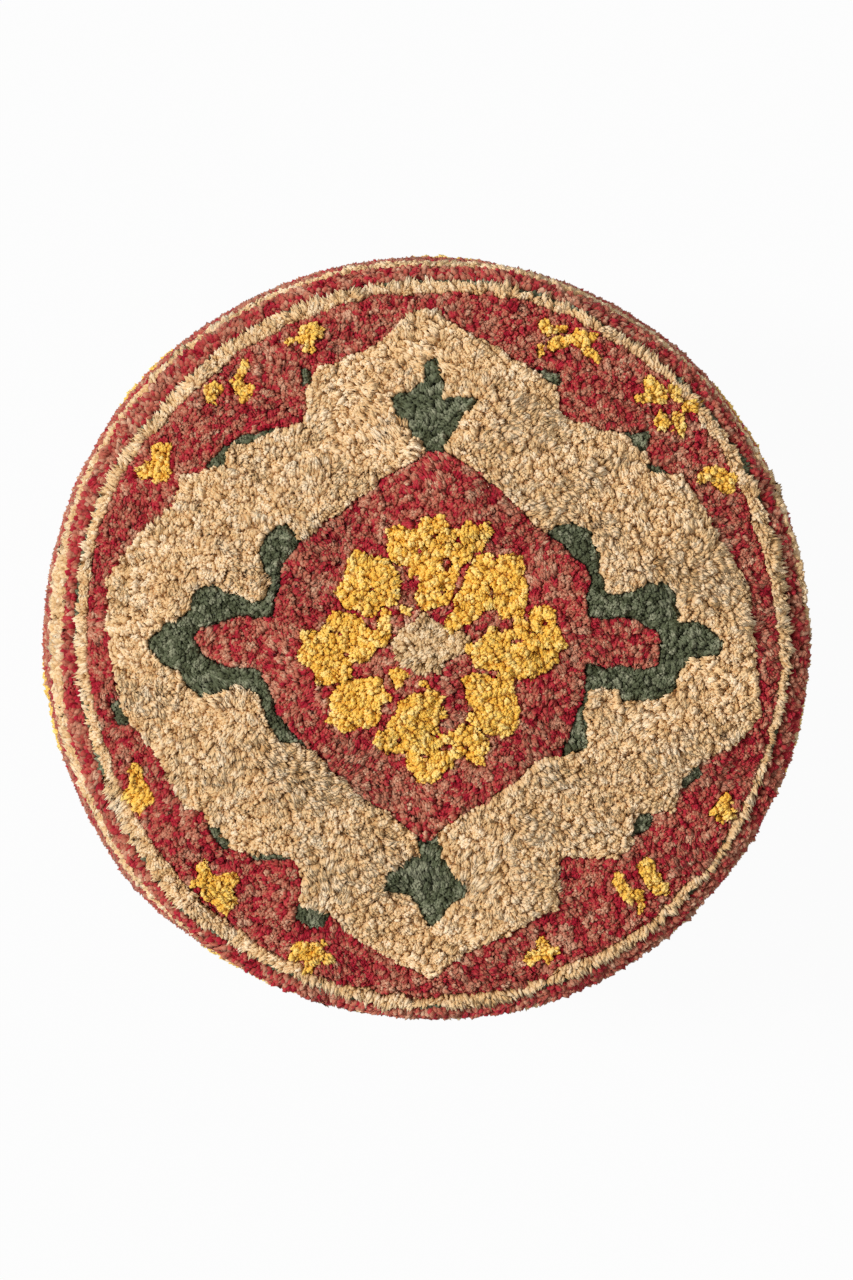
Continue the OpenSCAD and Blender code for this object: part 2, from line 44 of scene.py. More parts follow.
# Sizes in millimetres, apart from two angles and two counts
POUF_D = 500.0
POUF_H = 350.0
GIRTH_Z = 165.0
CROWN_R = 800.0
BOW_R = 800.0
SHOULDER_R = 36.0
FOOT_R = 36.0
SEAM_A = math.radians(55)
RIM_W = 8.5
SEAM_W = 3.0
CARVE_W = 1.6
BAND_W = 11.0
STRIPE_W = 10.0
FOOT_BAND_W = 66.0
BASE_R = 182.0
PANEL_Z = 11.5
CANVAS_T = 1.5
SLOT_W = 14.0
SLOT_L = 304.0
TAPE_Z = 13.3
TAPE_T = 0.6
TAPE_L = 329.0
TAPE_W = 15.0
CHAIN_HALF_W = 3.2
WALL_FLOWERS = 7
WALL_FLOWER_R = 34.0
WALL_FLOWER_Z = 205.0
WALL_FLOWER_TURN = 35.0
TOP_PITCH = 1.35
TOP_YARN_R = 0.84
WALL_PITCH = 2.1
WALL_YARN_R = 1.3
TUFT = 4.9
YARN_L = 8.0
SHOULDER_SETTLE = 11.0
WALL_SETTLE = 14.0
STITCH_L = 2.8
STITCH_PITCH = 3.6
RING_STITCHES = 300

crown_c = np.array([0.0, POUF_H - CROWN_R])
bow_c = np.array([POUF_D / 2 - BOW_R, GIRTH_Z])


def meet(c1, r1, c2, r2):
    """Where two circles meet, on the outer side."""
    span = np.linalg.norm(c2 - c1)
    along = (r1 * r1 - r2 * r2 + span * span) / (2 * span)
    across = math.sqrt(r1 * r1 - along * along)
    d = (c2 - c1) / span
    return c1 + along * d + across * np.array([d[1], -d[0]])


shoulder_c = meet(crown_c, CROWN_R - SHOULDER_R, bow_c, BOW_R - SHOULDER_R)
foot_c = np.array([bow_c[0] + math.sqrt((BOW_R - FOOT_R) ** 2 - (FOOT_R - GIRTH_Z) ** 2), FOOT_R])
crown_end_r = CROWN_R * shoulder_c[0] / np.linalg.norm(shoulder_c - crown_c)
bow_top_a = math.atan2(shoulder_c[1] - bow_c[1], shoulder_c[0] - bow_c[0])
bow_low_a = math.atan2(foot_c[1] - bow_c[1], foot_c[0] - bow_c[0])
shoulder_l = (SEAM_A - bow_top_a) * SHOULDER_R
bow_l = (bow_top_a - bow_low_a) * BOW_R
foot_l = (bow_low_a + math.pi / 2) * FOOT_R
foot_mid_s = shoulder_l + bow_l + foot_l
foot_edge_s = foot_mid_s + foot_c[0] - BASE_R
rim_in_r = shoulder_c[0] + SHOULDER_R * math.cos(SEAM_A + (SEAM_W / 2 + CARVE_W + RIM_W) / SHOULDER_R)
seam_r = shoulder_c[0] + SHOULDER_R * math.cos(SEAM_A)

top_band_s = SEAM_W / 2 + CARVE_W
upper_stripe_s = top_band_s + BAND_W + CARVE_W
wall_field_s = upper_stripe_s + STRIPE_W + CARVE_W
lower_stripe_s = foot_mid_s - FOOT_BAND_W
bottom_band_s = lower_stripe_s + STRIPE_W + CARVE_W


def top_profile(r):
    """Height and the normal's two parts on the top panel, at radius r."""
    on_crown = r < crown_end_r
    lean = np.clip((r - shoulder_c[0]) / SHOULDER_R, -1, 1)
    crown_z = crown_c[1] + np.sqrt(np.maximum(CROWN_R ** 2 - r * r, 0))
    z = np.where(on_crown, crown_z, shoulder_c[1] + SHOULDER_R * np.sqrt(1 - lean * lean))
    out = np.where(on_crown, r / CROWN_R, lean)
    return z, out, np.sqrt(1 - out * out)


def wall_profile(s):
    """Radius, height and the normal's two parts on the wall, s below the top seam."""
    arcs = [s < shoulder_l, s < shoulder_l + bow_l]
    a = np.select(arcs, [SEAM_A - s / SHOULDER_R, bow_top_a - (s - shoulder_l) / BOW_R],
                  np.maximum(bow_low_a - (s - shoulder_l - bow_l) / FOOT_R, -math.pi / 2))
    cx = np.select(arcs, [shoulder_c[0], bow_c[0]], foot_c[0] - np.maximum(s - foot_mid_s, 0))
    cz = np.select(arcs, [shoulder_c[1], bow_c[1]], foot_c[1])
    radius = np.select(arcs, [SHOULDER_R, BOW_R], FOOT_R)
    return cx + radius * np.cos(a), cz + radius * np.sin(a), np.cos(a), np.sin(a)


# Noise
def lattice(cell, seed):
    """A repeatable random number from 0 to 1 for each whole-numbered cell."""
    c = cell.astype(np.int64)
    h = (c[..., 0] * 73856093) ^ (c[..., 1] * 19349663) ^ (c[..., 2] * 83492791) ^ (seed * 2654435761)
    h = ((h ^ (h >> 13)) * 1274126177) & 0x7FFFFFFF
    h = ((h ^ (h >> 15)) * 668265263) & 0x7FFFFFFF
    return (h & 0xFFFF) / 65535.0


CORNERS = np.array(list(product((0, 1), repeat=3)))
NEIGHBOURS = np.array(list(product((-1, 0, 1), repeat=3)))


def noise(p, size, seed):
    """Smooth noise from -1 to 1, whose bumps are about size millimetres across."""
    q = p / size
    cell = np.floor(q)
    f = q - cell
    f = f * f * (3 - 2 * f)
    total = np.zeros(len(p))
    for corner in CORNERS:
        w = np.prod(np.where(corner, f, 1 - f), axis=1)
        total += w * lattice(cell + corner, seed)
    return 2 * total - 1


def noises(p, size, seed):
    """A noise for each of the three directions."""
    return np.stack([noise(p, size, seed + k) for k in range(3)], axis=1)


def clumps(p, size, seed):
    """The way to the middle of the clump that each point belongs to, and a number for that clump."""
    q = p / size
    cell = np.floor(q)
    best = np.full(len(p), 1e9)
    way = np.zeros_like(p)
    name = np.zeros(len(p))
    for neighbour in NEIGHBOURS:
        c = cell + neighbour
        middle = c + np.stack([lattice(c, seed + n) for n in (1, 2, 3)], axis=1)
        d = middle - q
        length = (d * d).sum(axis=1)
        near = length < best
        best = np.where(near, length, best)
        way[near] = d[near]
        name = np.where(near, lattice(c, seed + 4), name)
    return way * size, name


def unit(v):
    """Each v at a length of one."""
    return v / np.maximum(np.linalg.norm(v, axis=1), 1e-9)[:, None]


def tangent(v, out):
    """The part of each v that runs along the surface."""
    return v - (v * out).sum(axis=1)[:, None] * out


# The pattern, in millimetres from the middle of the top
FIELD = [
    (-2, 206), (48, 176), (68, 165), (77, 157), (79, 143), (85, 135), (121, 127), (130, 119), (137, 109),
    (146, 104), (157, 105), (162, 89), (185, 53), (194, 38), (198, 2), (205, -30), (205, -46), (195, -57),
    (165, -76), (157, -84), (151, -105), (134, -106), (126, -112), (124, -126), (116, -134), (83, -134),
    (78, -144), (79, -167), (68, -170), (42, -184), (23, -194), (8, -205), (-1, -209), (-16, -202),
    (-46, -184), (-69, -165), (-80, -162), (-79, -143), (-84, -135), (-112, -132), (-126, -127),
    (-140, -107), (-153, -102), (-164, -79), (-192, -41), (-199, 6), (-200, 37), (-186, 59), (-159, 81),
    (-152, 101), (-130, 107), (-121, 122), (-107, 127), (-78, 134), (-74, 163), (-68, 168), (-43, 177),
    (-30, 185), (-16, 197)]
MEDALLION = [
    (0, 116), (9, 116), (17, 113), (44, 94), (69, 67), (90, 50), (97, 43), (96, 15), (122, 14), (138, 9),
    (143, 0), (142, -14), (134, -16), (97, -15), (93, -39), (82, -70), (69, -71), (37, -98), (19, -109),
    (-3, -126), (-27, -106), (-43, -96), (-76, -68), (-96, -43), (-100, -27), (-107, -18), (-128, -16),
    (-141, -7), (-147, 2), (-143, 9), (-120, 16), (-97, 15), (-92, 47), (-74, 67), (-43, 91), (-16, 108)]
PETALS = [
    [(-10, 36), (-13, 39), (-12, 45), (-24, 50), (-28, 55), (-24, 60), (-26, 68), (-17, 70), (-10, 66),
     (-8, 73), (-4, 77), (8, 78), (11, 70), (19, 69), (23, 75), (28, 70), (35, 71), (37, 66), (31, 61),
     (32, 57), (25, 56), (24, 50), (19, 47), (17, 42), (14, 30), (12, 23), (4, 22), (-5, 18), (-8, 24),
     (-8, 29), (-4, 33)],
    [(9, 7), (11, 14), (16, 20), (15, 25), (20, 32), (24, 42), (27, 50), (32, 54), (37, 53), (39, 49),
     (48, 52), (54, 51), (57, 46), (57, 40), (60, 36), (59, 27), (57, 19), (52, 16), (47, 14), (44, 17),
     (40, 19), (31, 18), (29, 14), (22, 11), (17, 7), (13, 4)],
    [(21, -8), (23, -3), (30, 2), (38, 9), (44, 6), (52, 8), (52, 14), (55, 17), (58, 12), (61, 13),
     (63, 20), (70, 22), (76, 20), (77, 13), (80, 8), (80, 2), (84, -1), (79, -7), (78, -12), (70, -19),
     (66, -20), (64, -24), (61, -21), (55, -23), (46, -23), (42, -18), (33, -16), (27, -15), (26, -9)],
    [(19, -24), (25, -20), (32, -20), (38, -24), (44, -20), (51, -23), (52, -28), (53, -36), (55, -42),
     (53, -50), (50, -55), (46, -59), (38, -58), (33, -56), (28, -54), (23, -49), (24, -45), (28, -42),
     (23, -38), (21, -30)],
    [(-19, -38), (-12, -34), (-7, -33), (0, -31), (6, -33), (5, -39), (8, -46), (3, -51), (4, -56),
     (10, -58), (14, -55), (20, -52), (25, -54), (31, -57), (34, -62), (36, -66), (31, -70), (32, -75),
     (28, -77), (24, -74), (22, -68), (15, -71), (15, -76), (10, -79), (6, -84), (-1, -88), (-9, -87),
     (-12, -80), (-14, -74), (-13, -67), (-20, -69), (-27, -70), (-33, -65), (-35, -61), (-31, -55),
     (-25, -54), (-25, -50), (-20, -45)],
    [(-58, -27), (-50, -24), (-42, -23), (-32, -23), (-27, -27), (-28, -31), (-22, -36), (-25, -39),
     (-31, -41), (-30, -45), (-33, -51), (-38, -53), (-43, -52), (-49, -56), (-55, -57), (-58, -52),
     (-64, -50), (-60, -47), (-59, -43), (-60, -36), (-59, -31)],
    [(-66, 8), (-64, 15), (-60, 19), (-55, 20), (-50, 17), (-44, 13), (-38, 9), (-33, 7), (-30, 14),
     (-27, 19), (-23, 16), (-24, 8), (-25, 2), (-27, -2), (-33, -3), (-34, -8), (-38, -12), (-44, -11),
     (-48, -12), (-48, -19), (-50, -23), (-57, -25), (-60, -27), (-66, -28), (-71, -25), (-71, -20),
     (-75, -15), (-80, -9), (-78, -3), (-79, 5), (-74, 6), (-70, 3)],
    [(-46, 55), (-43, 56), (-40, 51), (-34, 49), (-27, 50), (-22, 45), (-21, 38), (-21, 30), (-22, 24),
     (-27, 23), (-30, 20), (-34, 14), (-39, 15), (-44, 20), (-48, 19), (-52, 21), (-57, 28), (-54, 33),
     (-51, 42), (-50, 48)],
    [(-25, -19), (-18, -16), (-10, -18), (-15, -22), (-16, -28), (-20, -31), (-22, -24)],
    [(-20, 24), (-14, 20), (-12, 15), (-17, 17)],
    [(-7, -23), (-2, -25), (-3, -29), (-7, -27)]]
# Gaps in the petals, where the red shows: middle and half widths
PETAL_GAPS = [((10, 47), 3, 5), ((-7, 37), 3, 3), ((8, 31), 2.2, 3.5), ((-36, 31), 2, 2),
              ((53, 1), 4.5, 1.8), ((63, 6), 4.5, 1.6), ((10, -66), 5, 2.2), ((-3, -71), 2.5, 2),
              ((-58, 5), 5.5, 1.6), ((-33, 10), 3, 3), ((-6, 56), 2, 3), ((-51, -9), 3, 1.8),
              ((16, 61), 2, 2.5), ((28, 64), 2.4, 1.8), ((2, 66), 4, 1.6), ((3, -58), 3, 1.8),
              ((-22, -60), 3, 1.5), ((38, 30), 1.2, 5), ((70, 12), 2.5, 1.5), ((22, -66), 1.6, 2.4)]
CENTRE = [(-5, 17), (-1, 15), (9, 9), (12, 4), (20, 6), (24, 0), (20, -8), (14, -10), (8, -12),
          (4, -20), (-3, -20), (-8, -15), (-17, -12), (-24, -3), (-21, 4), (-15, 10), (-10, 12)]
LEAF_NORTH = [
    (-1, 175), (6, 175), (10, 157), (9, 150), (30, 150), (26, 143), (19, 138), (14, 128), (9, 110),
    (-2, 110), (-5, 122), (-21, 139), (-25, 150), (-13, 154), (-5, 160), (-5, 169)]
LEAF_SOUTH = [
    (-8, -116), (4, -116), (8, -134), (15, -144), (25, -151), (22, -158), (12, -162), (8, -170),
    (3, -179), (-1, -179), (-8, -164), (-14, -158), (-32, -157), (-30, -148), (-21, -140), (-8, -131)]
LEAF_EAST = [
    (60, 60), (77, 70), (85, 74), (94, 73), (101, 67), (105, 47), (106, 36), (110, 29), (119, 29),
    (135, 37), (145, 36), (151, 31), (152, 20), (155, 12), (163, 12), (174, 7), (183, -1), (179, -7),
    (160, -13), (154, -19), (150, -31), (142, -36), (119, -36), (116, -30), (97, -29), (95, -43),
    (98, -52), (96, -67), (86, -71), (60, -60)]
LEAF_WEST = [
    (-60, 60), (-79, 62), (-90, 72), (-99, 70), (-105, 55), (-101, 29), (-110, 25), (-128, 33),
    (-140, 36), (-147, 32), (-150, 21), (-159, 14), (-176, 2), (-175, -6), (-165, -15), (-155, -19),
    (-150, -30), (-139, -37), (-124, -33), (-117, -29), (-107, -32), (-99, -55), (-93, -62), (-84, -63),
    (-74, -72), (-60, -60)]
EDGE_LEAVES = [
    [(62, 169), (74, 166), (80, 165), (79, 158), (73, 160)],
    [(119, 129), (135, 130), (135, 121), (131, 115), (126, 120)],
    [(131, 112), (139, 109), (149, 104), (142, 101), (133, 106)],
    [(155, -86), (165, -76), (168, -82), (158, -93)],
    [(123, -122), (127, -109), (137, -107), (138, -110), (131, -119)],
    [(-82, -163), (-75, -164), (-67, -167), (-61, -172), (-64, -176), (-75, -177), (-84, -173)],
    [(-138, -113), (-130, -115), (-125, -125), (-129, -130), (-134, -122)],
    [(-113, -131), (-98, -132), (-86, -134), (-92, -138), (-109, -136)],
    [(-196, -32), (-187, -51), (-194, -52), (-199, -40)],
    [(-80, 168), (-73, 167), (-76, 161), (-80, 156)],
    [(-139, 107), (-127, 121), (-110, 128), (-96, 132), (-98, 128), (-112, 122), (-124, 119),
     (-127, 106)]]
# The small flowers of the border, each a few loose clusters of petals
ROSETTES = [
    [(-173, 121), (-160, 122), (-162, 112), (-160, 104), (-163, 98), (-172, 99), (-171, 103), (-178, 101),
     (-182, 104), (-181, 108), (-176, 111), (-171, 110), (-170, 116)],
    [(-139, 157), (-135, 161), (-131, 158), (-128, 155), (-131, 151), (-134, 147), (-138, 149)],
    [(-116, 174), (-112, 173), (-113, 167), (-116, 161), (-112, 160), (-106, 156), (-109, 151),
     (-113, 152), (-114, 147), (-119, 147), (-118, 153), (-122, 155), (-124, 161), (-120, 164)],
    [(-77, 197), (-70, 198), (-66, 192), (-67, 187), (-72, 187), (-74, 178), (-78, 179), (-77, 184),
     (-83, 186), (-90, 184), (-88, 188), (-82, 190), (-81, 194)],
    [(67, 196), (72, 199), (77, 194), (84, 196), (85, 192), (78, 190), (72, 191)],
    [(66, 184), (70, 184), (70, 178), (66, 178)],
    [(74, 186), (80, 188), (84, 186), (90, 193), (97, 192), (104, 190), (99, 184), (101, 178), (97, 177),
     (93, 181), (88, 184), (83, 182), (75, 181)],
    [(101, 181), (106, 177), (105, 172), (101, 174)],
    [(132, 161), (136, 164), (141, 159), (145, 152), (140, 149), (134, 153)],
    [(126, 151), (132, 153), (138, 151), (146, 152), (145, 148), (128, 148)],
    [(147, 154), (151, 158), (155, 154), (156, 149), (150, 150)],
    [(155, 147), (160, 150), (167, 147), (164, 141), (156, 142)],
    [(141, 143), (146, 143), (149, 134), (146, 130), (141, 130), (139, 136)],
    [(150, 142), (154, 142), (157, 134), (158, 127), (154, 128), (150, 135)],
    [(165, 103), (171, 107), (177, 109), (184, 106), (192, 101), (188, 97), (187, 91), (182, 91),
     (178, 98), (173, 101), (168, 100)],
    [(-188, -80), (-183, -76), (-180, -82), (-176, -88), (-171, -93), (-172, -98), (-176, -100),
     (-178, -107), (-182, -104), (-185, -101), (-191, -99), (-191, -93), (-185, -92), (-187, -86)],
    [(-144, -137), (-139, -136), (-138, -142), (-133, -145), (-127, -142), (-121, -143), (-118, -150),
     (-124, -154), (-122, -162), (-125, -168), (-130, -167), (-132, -161), (-138, -160), (-142, -156),
     (-140, -152), (-147, -152), (-147, -148), (-142, -146), (-146, -141)],
    [(-84, -189), (-79, -187), (-75, -190), (-70, -187), (-67, -184), (-65, -188), (-70, -192),
     (-64, -193), (-60, -197), (-65, -200), (-71, -197), (-73, -204), (-78, -203), (-79, -199),
     (-84, -198), (-89, -195), (-85, -193)],
    [(66, -186), (70, -183), (72, -189), (78, -189), (81, -195), (75, -196), (73, -200), (69, -196),
     (62, -200), (57, -198), (61, -194), (67, -193)],
    [(114, -142), (118, -144), (119, -149), (124, -152), (131, -154), (131, -160), (122, -161),
     (117, -156), (113, -148)],
    [(129, -137), (134, -132), (138, -136), (138, -143), (142, -143), (144, -149), (147, -154),
     (145, -159), (139, -157), (134, -150), (130, -144)],
    [(129, -160), (134, -160), (133, -165), (130, -168)],
    [(171, -105), (178, -101), (181, -97), (184, -92), (187, -97), (185, -103), (190, -105), (186, -110),
     (182, -109), (180, -113), (176, -109), (179, -105), (173, -109)]]
# How far the cover has settled out of round: bearing in degrees, millimetres outwards
RIM_DRIFT = [(-170, -2), (-150, -4), (-130, -3), (-110, 1), (-92, 1.5), (-70, 1), (-30, 3), (-5, 2.5),
             (5, -2), (15, -3), (30, -2), (45, 1), (65, 3), (80, 1), (100, 0), (110, -2), (135, -3),
             (150, 0), (165, 1), (180, -1)]
SEAM_DRIFT = [(-175, -4.3), (-160, -4.3), (-150, -2), (-133, 3.7), (-125, 1), (-110, 1.5),
              (-97, 6), (-90, 5.3), (-80, 4.5), (-70, 2.5), (-30, 0.6), (-20, -2), (-5, -0.6), (5, -2),
              (15, -1.2), (30, 0), (60, 0.6), (72, 1.5), (90, 0), (110, -1.2), (125, -0.6), (140, -3.7),
              (150, -0.6), (165, -0.6)]
BAND_DRIFT = [(180, -3), (165, 0), (150, 2.5), (130, 1), (90, 0), (60, 1.5), (45, 1), (20, 0),
              (0, 1.3), (-45, 1.3), (-90, 3.5), (-120, 2), (-140, 0), (-160, -2)]
WALL_DRIFT = [(180, -1.3), (140, 0.5), (90, -2.6), (50, -3.6), (35, -5.5), (20, -5.5), (8, -6),
              (0, -6.5), (-45, -7), (-90, -6.5), (-115, -7.5), (-128, -6), (-140, -2)]
# How much farther down the stripe under the seam starts, and how much farther down it reaches
STRIPE_START = [(-172, 0), (180, -5), (170, -5), (163, 0), (38, 0), (30, -4), (8, -4), (0, 0)]
STRIPE_DRIFT = [(-180, 0), (0, 0), (25, 7), (45, 9), (68, 8), (88, 2), (108, -4), (155, -4), (175, 0)]
# Where the green of the seam shows: bearing and reach in degrees
SEAM_SHOWS = [(83, 3), (66, 1.5), (45, 2), (29, 2), (-108, 1), (-165, 8)]


def petal_ring(reach, waist, petals, blunt):
    """A round of blunt petals, three points to each."""
    return [(k * math.cos((i + t) * 2 * math.pi / petals), k * math.sin((i + t) * 2 * math.pi / petals))
            for i in range(petals) for k, t in ((waist, -0.5), (reach, -blunt), (reach, blunt))]


def smooth(t):
    """From 0 to 1, without a corner at either end."""
    t = np.clip(t, 0, 1)
    return t * t * (3 - 2 * t)


def drift(pairs, turn):
    """The amount at each bearing, between the ones that are given."""
    bearings, amounts = np.array(pairs, float).T
    return np.interp(np.degrees(turn), bearings, amounts, period=360)


def inside(points, x, y):
    """Which of the points x, y lie inside the closed outline."""
    result = np.zeros(len(x), bool)
    ends = np.array(points, float)
    for (x1, y1), (x2, y2) in zip(ends, np.roll(ends, -1, axis=0)):
        if y1 != y2:
            crosses = (y1 > y) != (y2 > y)
            result ^= crosses & (x < (x2 - x1) * (y - y1) / (y2 - y1) + x1)
    return result


# The outlines of the regions of the top, the later ones over the earlier ones
TOP_LAYERS = {"rosette": ROSETTES, "field": [FIELD], "edge_leaf": EDGE_LEAVES,
              "leaf_north": [LEAF_NORTH], "leaf_south": [LEAF_SOUTH], "leaf_east": [LEAF_EAST],
              "leaf_west": [LEAF_WEST], "medallion": [MEDALLION], "petal": PETALS,
              "flower_centre": [CENTRE]}
TOP_REGIONS = ["border", *TOP_LAYERS, "rim"]


def top_region(x, y):
    """The number in TOP_REGIONS of the yarn at x, y."""
    p = np.stack([x, y, np.zeros(len(x))], axis=1)
    x = x + 1.5 * noise(p, 9, 11) + 0.9 * noise(p, 4, 12)
    y = y + 1.5 * noise(p, 9, 13) + 0.9 * noise(p, 4, 14)
    region = np.zeros(len(x), int)
    for number, outlines in enumerate(TOP_LAYERS.values(), start=1):
        for outline in outlines:
            (left, low), (right, high) = np.min(outline, axis=0), np.max(outline, axis=0)
            found = np.flatnonzero((x > left) & (x < right) & (y > low) & (y < high))
            region[found[inside(outline, x[found], y[found])]] = number
    petal, medallion, rosette, rim = map(TOP_REGIONS.index, ("petal", "medallion", "rosette", "rim"))
    for (gap_x, gap_y), wide, high in PETAL_GAPS:
        gap = np.hypot((x - gap_x) / wide, (y - gap_y) / high) < 1
        region[gap & (region == petal)] = medallion
    edge = rim_in_r + 2.6 + drift(RIM_DRIFT, np.arctan2(y, x))
    region[(np.hypot(x, y) > edge) & (region != rosette)] = rim
    return region


WALL_REGIONS = ["seam_line", "wall_top_band", "wall_upper_stripe", "wall_field", "wall_flower",
                "wall_lower_stripe", "wall_bottom_band"]


def wall_region(arc, s):
    """The number in WALL_REGIONS of the yarn at arc, the bearing times the greatest radius."""
    turn = arc / (POUF_D / 2)
    p = np.stack([POUF_D / 2 * np.cos(turn), POUF_D / 2 * np.sin(turn), s], axis=1)
    wobble = 1.5 * noise(p, 34, 21) + 1.0 * noise(p, 9, 22) + 0.6 * noise(p, 3, 23)
    s = s + wobble * np.clip((s - SEAM_W / 2) / 6, 0, 1)
    stations = np.array([SEAM_W / 2 - 0.4, upper_stripe_s - CARVE_W / 2,
                         wall_field_s - CARVE_W / 2, lower_stripe_s - CARVE_W / 2,
                         bottom_band_s - CARVE_W / 2])
    band, stripe, ground, flower = map(
        WALL_REGIONS.index, ("wall_top_band", "wall_upper_stripe", "wall_field", "wall_flower"))
    region = np.delete(np.arange(len(WALL_REGIONS)), flower)[np.searchsorted(stations, s)]
    stripe_end = stations[2] + drift(STRIPE_DRIFT, turn)
    region[(region == ground) & (s < stripe_end)] = stripe
    region[(region == stripe) & (s > stripe_end)] = ground
    region[(region == band) & (s > stations[1] + drift(STRIPE_START, turn))] = stripe
    r, z, _, _ = wall_profile(s)
    step = 2 * math.pi / WALL_FLOWERS
    off = (turn - math.radians(WALL_FLOWER_TURN) + step / 2) % step - step / 2
    across = off * r + 3.0 * noise(p, 13, 24) + 1.4 * noise(p, 5, 26)
    up = z - WALL_FLOWER_Z + 3.0 * noise(p, 13, 25) + 1.4 * noise(p, 5, 27)
    petals = petal_ring(WALL_FLOWER_R, WALL_FLOWER_R * 0.42, 6, 0.3)
    bloom = inside(petals, across, up) & (np.hypot(across, up) > 5)
    region[(region == ground) & bloom] = flower
    return region


def borders(classify, a, b, own):
    """Whether each yarn stands in a carved line, how near it is to one, and the way to it."""
    groove, near = np.zeros(len(a)), np.zeros(len(a))
    way = np.zeros((len(a), 2))
    for reach, amount, full in ((1.0, groove, 3), (3.0, near, 4)):
        for k in range(8):
            c, s = math.cos(k * math.pi / 4), math.sin(k * math.pi / 4)
            other = classify(a + reach * c, b + reach * s) != own
            amount += other / full
            way += other[:, None] * np.array([c, s])
    return np.clip(groove, 0, 1), np.clip(near, 0, 1), unit(way) * (near > 0)[:, None]


# Yarns
# How high each colour stands, how round its edge is shorn, how deep its side of a carved line
# is, how strongly it clumps, how far its edge leans over its neighbours and how flat it lies
CARVED_RED = (-1.4, 1.0, 3.4, 0.9, -0.6, 0.6)
LEAF = (-1.7, 1.0, 2.6, 0.9, -0.6, 0.6)
STRIPE = (0.2, 0.5, 0.3, 0.9, 0.5, 0.8)
STANCE = {"border": CARVED_RED, "medallion": CARVED_RED, "leaf_north": LEAF, "leaf_south": LEAF,
          "leaf_east": LEAF, "leaf_west": LEAF, "wall_upper_stripe": STRIPE, "wall_lower_stripe": STRIPE,
          "field": (0.4, 0.9, 0.3, 1.1, -0.3, 0.85), "rim": (0.2, 0.4, 0.6, 0.9, 0.0, 0.8),
          "petal": (0.4, 0.7, 0.0, 1.3, 0.7, 0.5), "rosette": (-0.2, 0.5, 0.0, 1.3, 0.8, 0.6),
          "flower_centre": (-0.1, 0.8, 0.3, 1.0, 0.4, 0.7),
          "edge_leaf": (-2.6, 0.8, 1.5, 0.7, -0.5, 0.6), "seam_line": (-3.4, 0.0, 0.0, 0.5, 0.0, 0.5),
          "wall_top_band": (-0.6, 0.4, 1.0, 0.9, 0.0, 0.65),
          "wall_field": (-0.8, 0.8, 2.0, 1.0, -0.4, 0.65), "wall_flower": (0.4, 0.8, 0.2, 1.4, 0.8, 0.6),
          "wall_bottom_band": (-0.6, 0.5, 1.0, 0.9, 0.0, 0.65)}
YARN_POINTS = 9


def body_lumps(p):
    """How far the stuffed body swells past its plain form."""
    return 1.6 * noise(p, 150, 31) + 0.9 * noise(p, 60, 32) + 0.35 * noise(p, 24, 33)


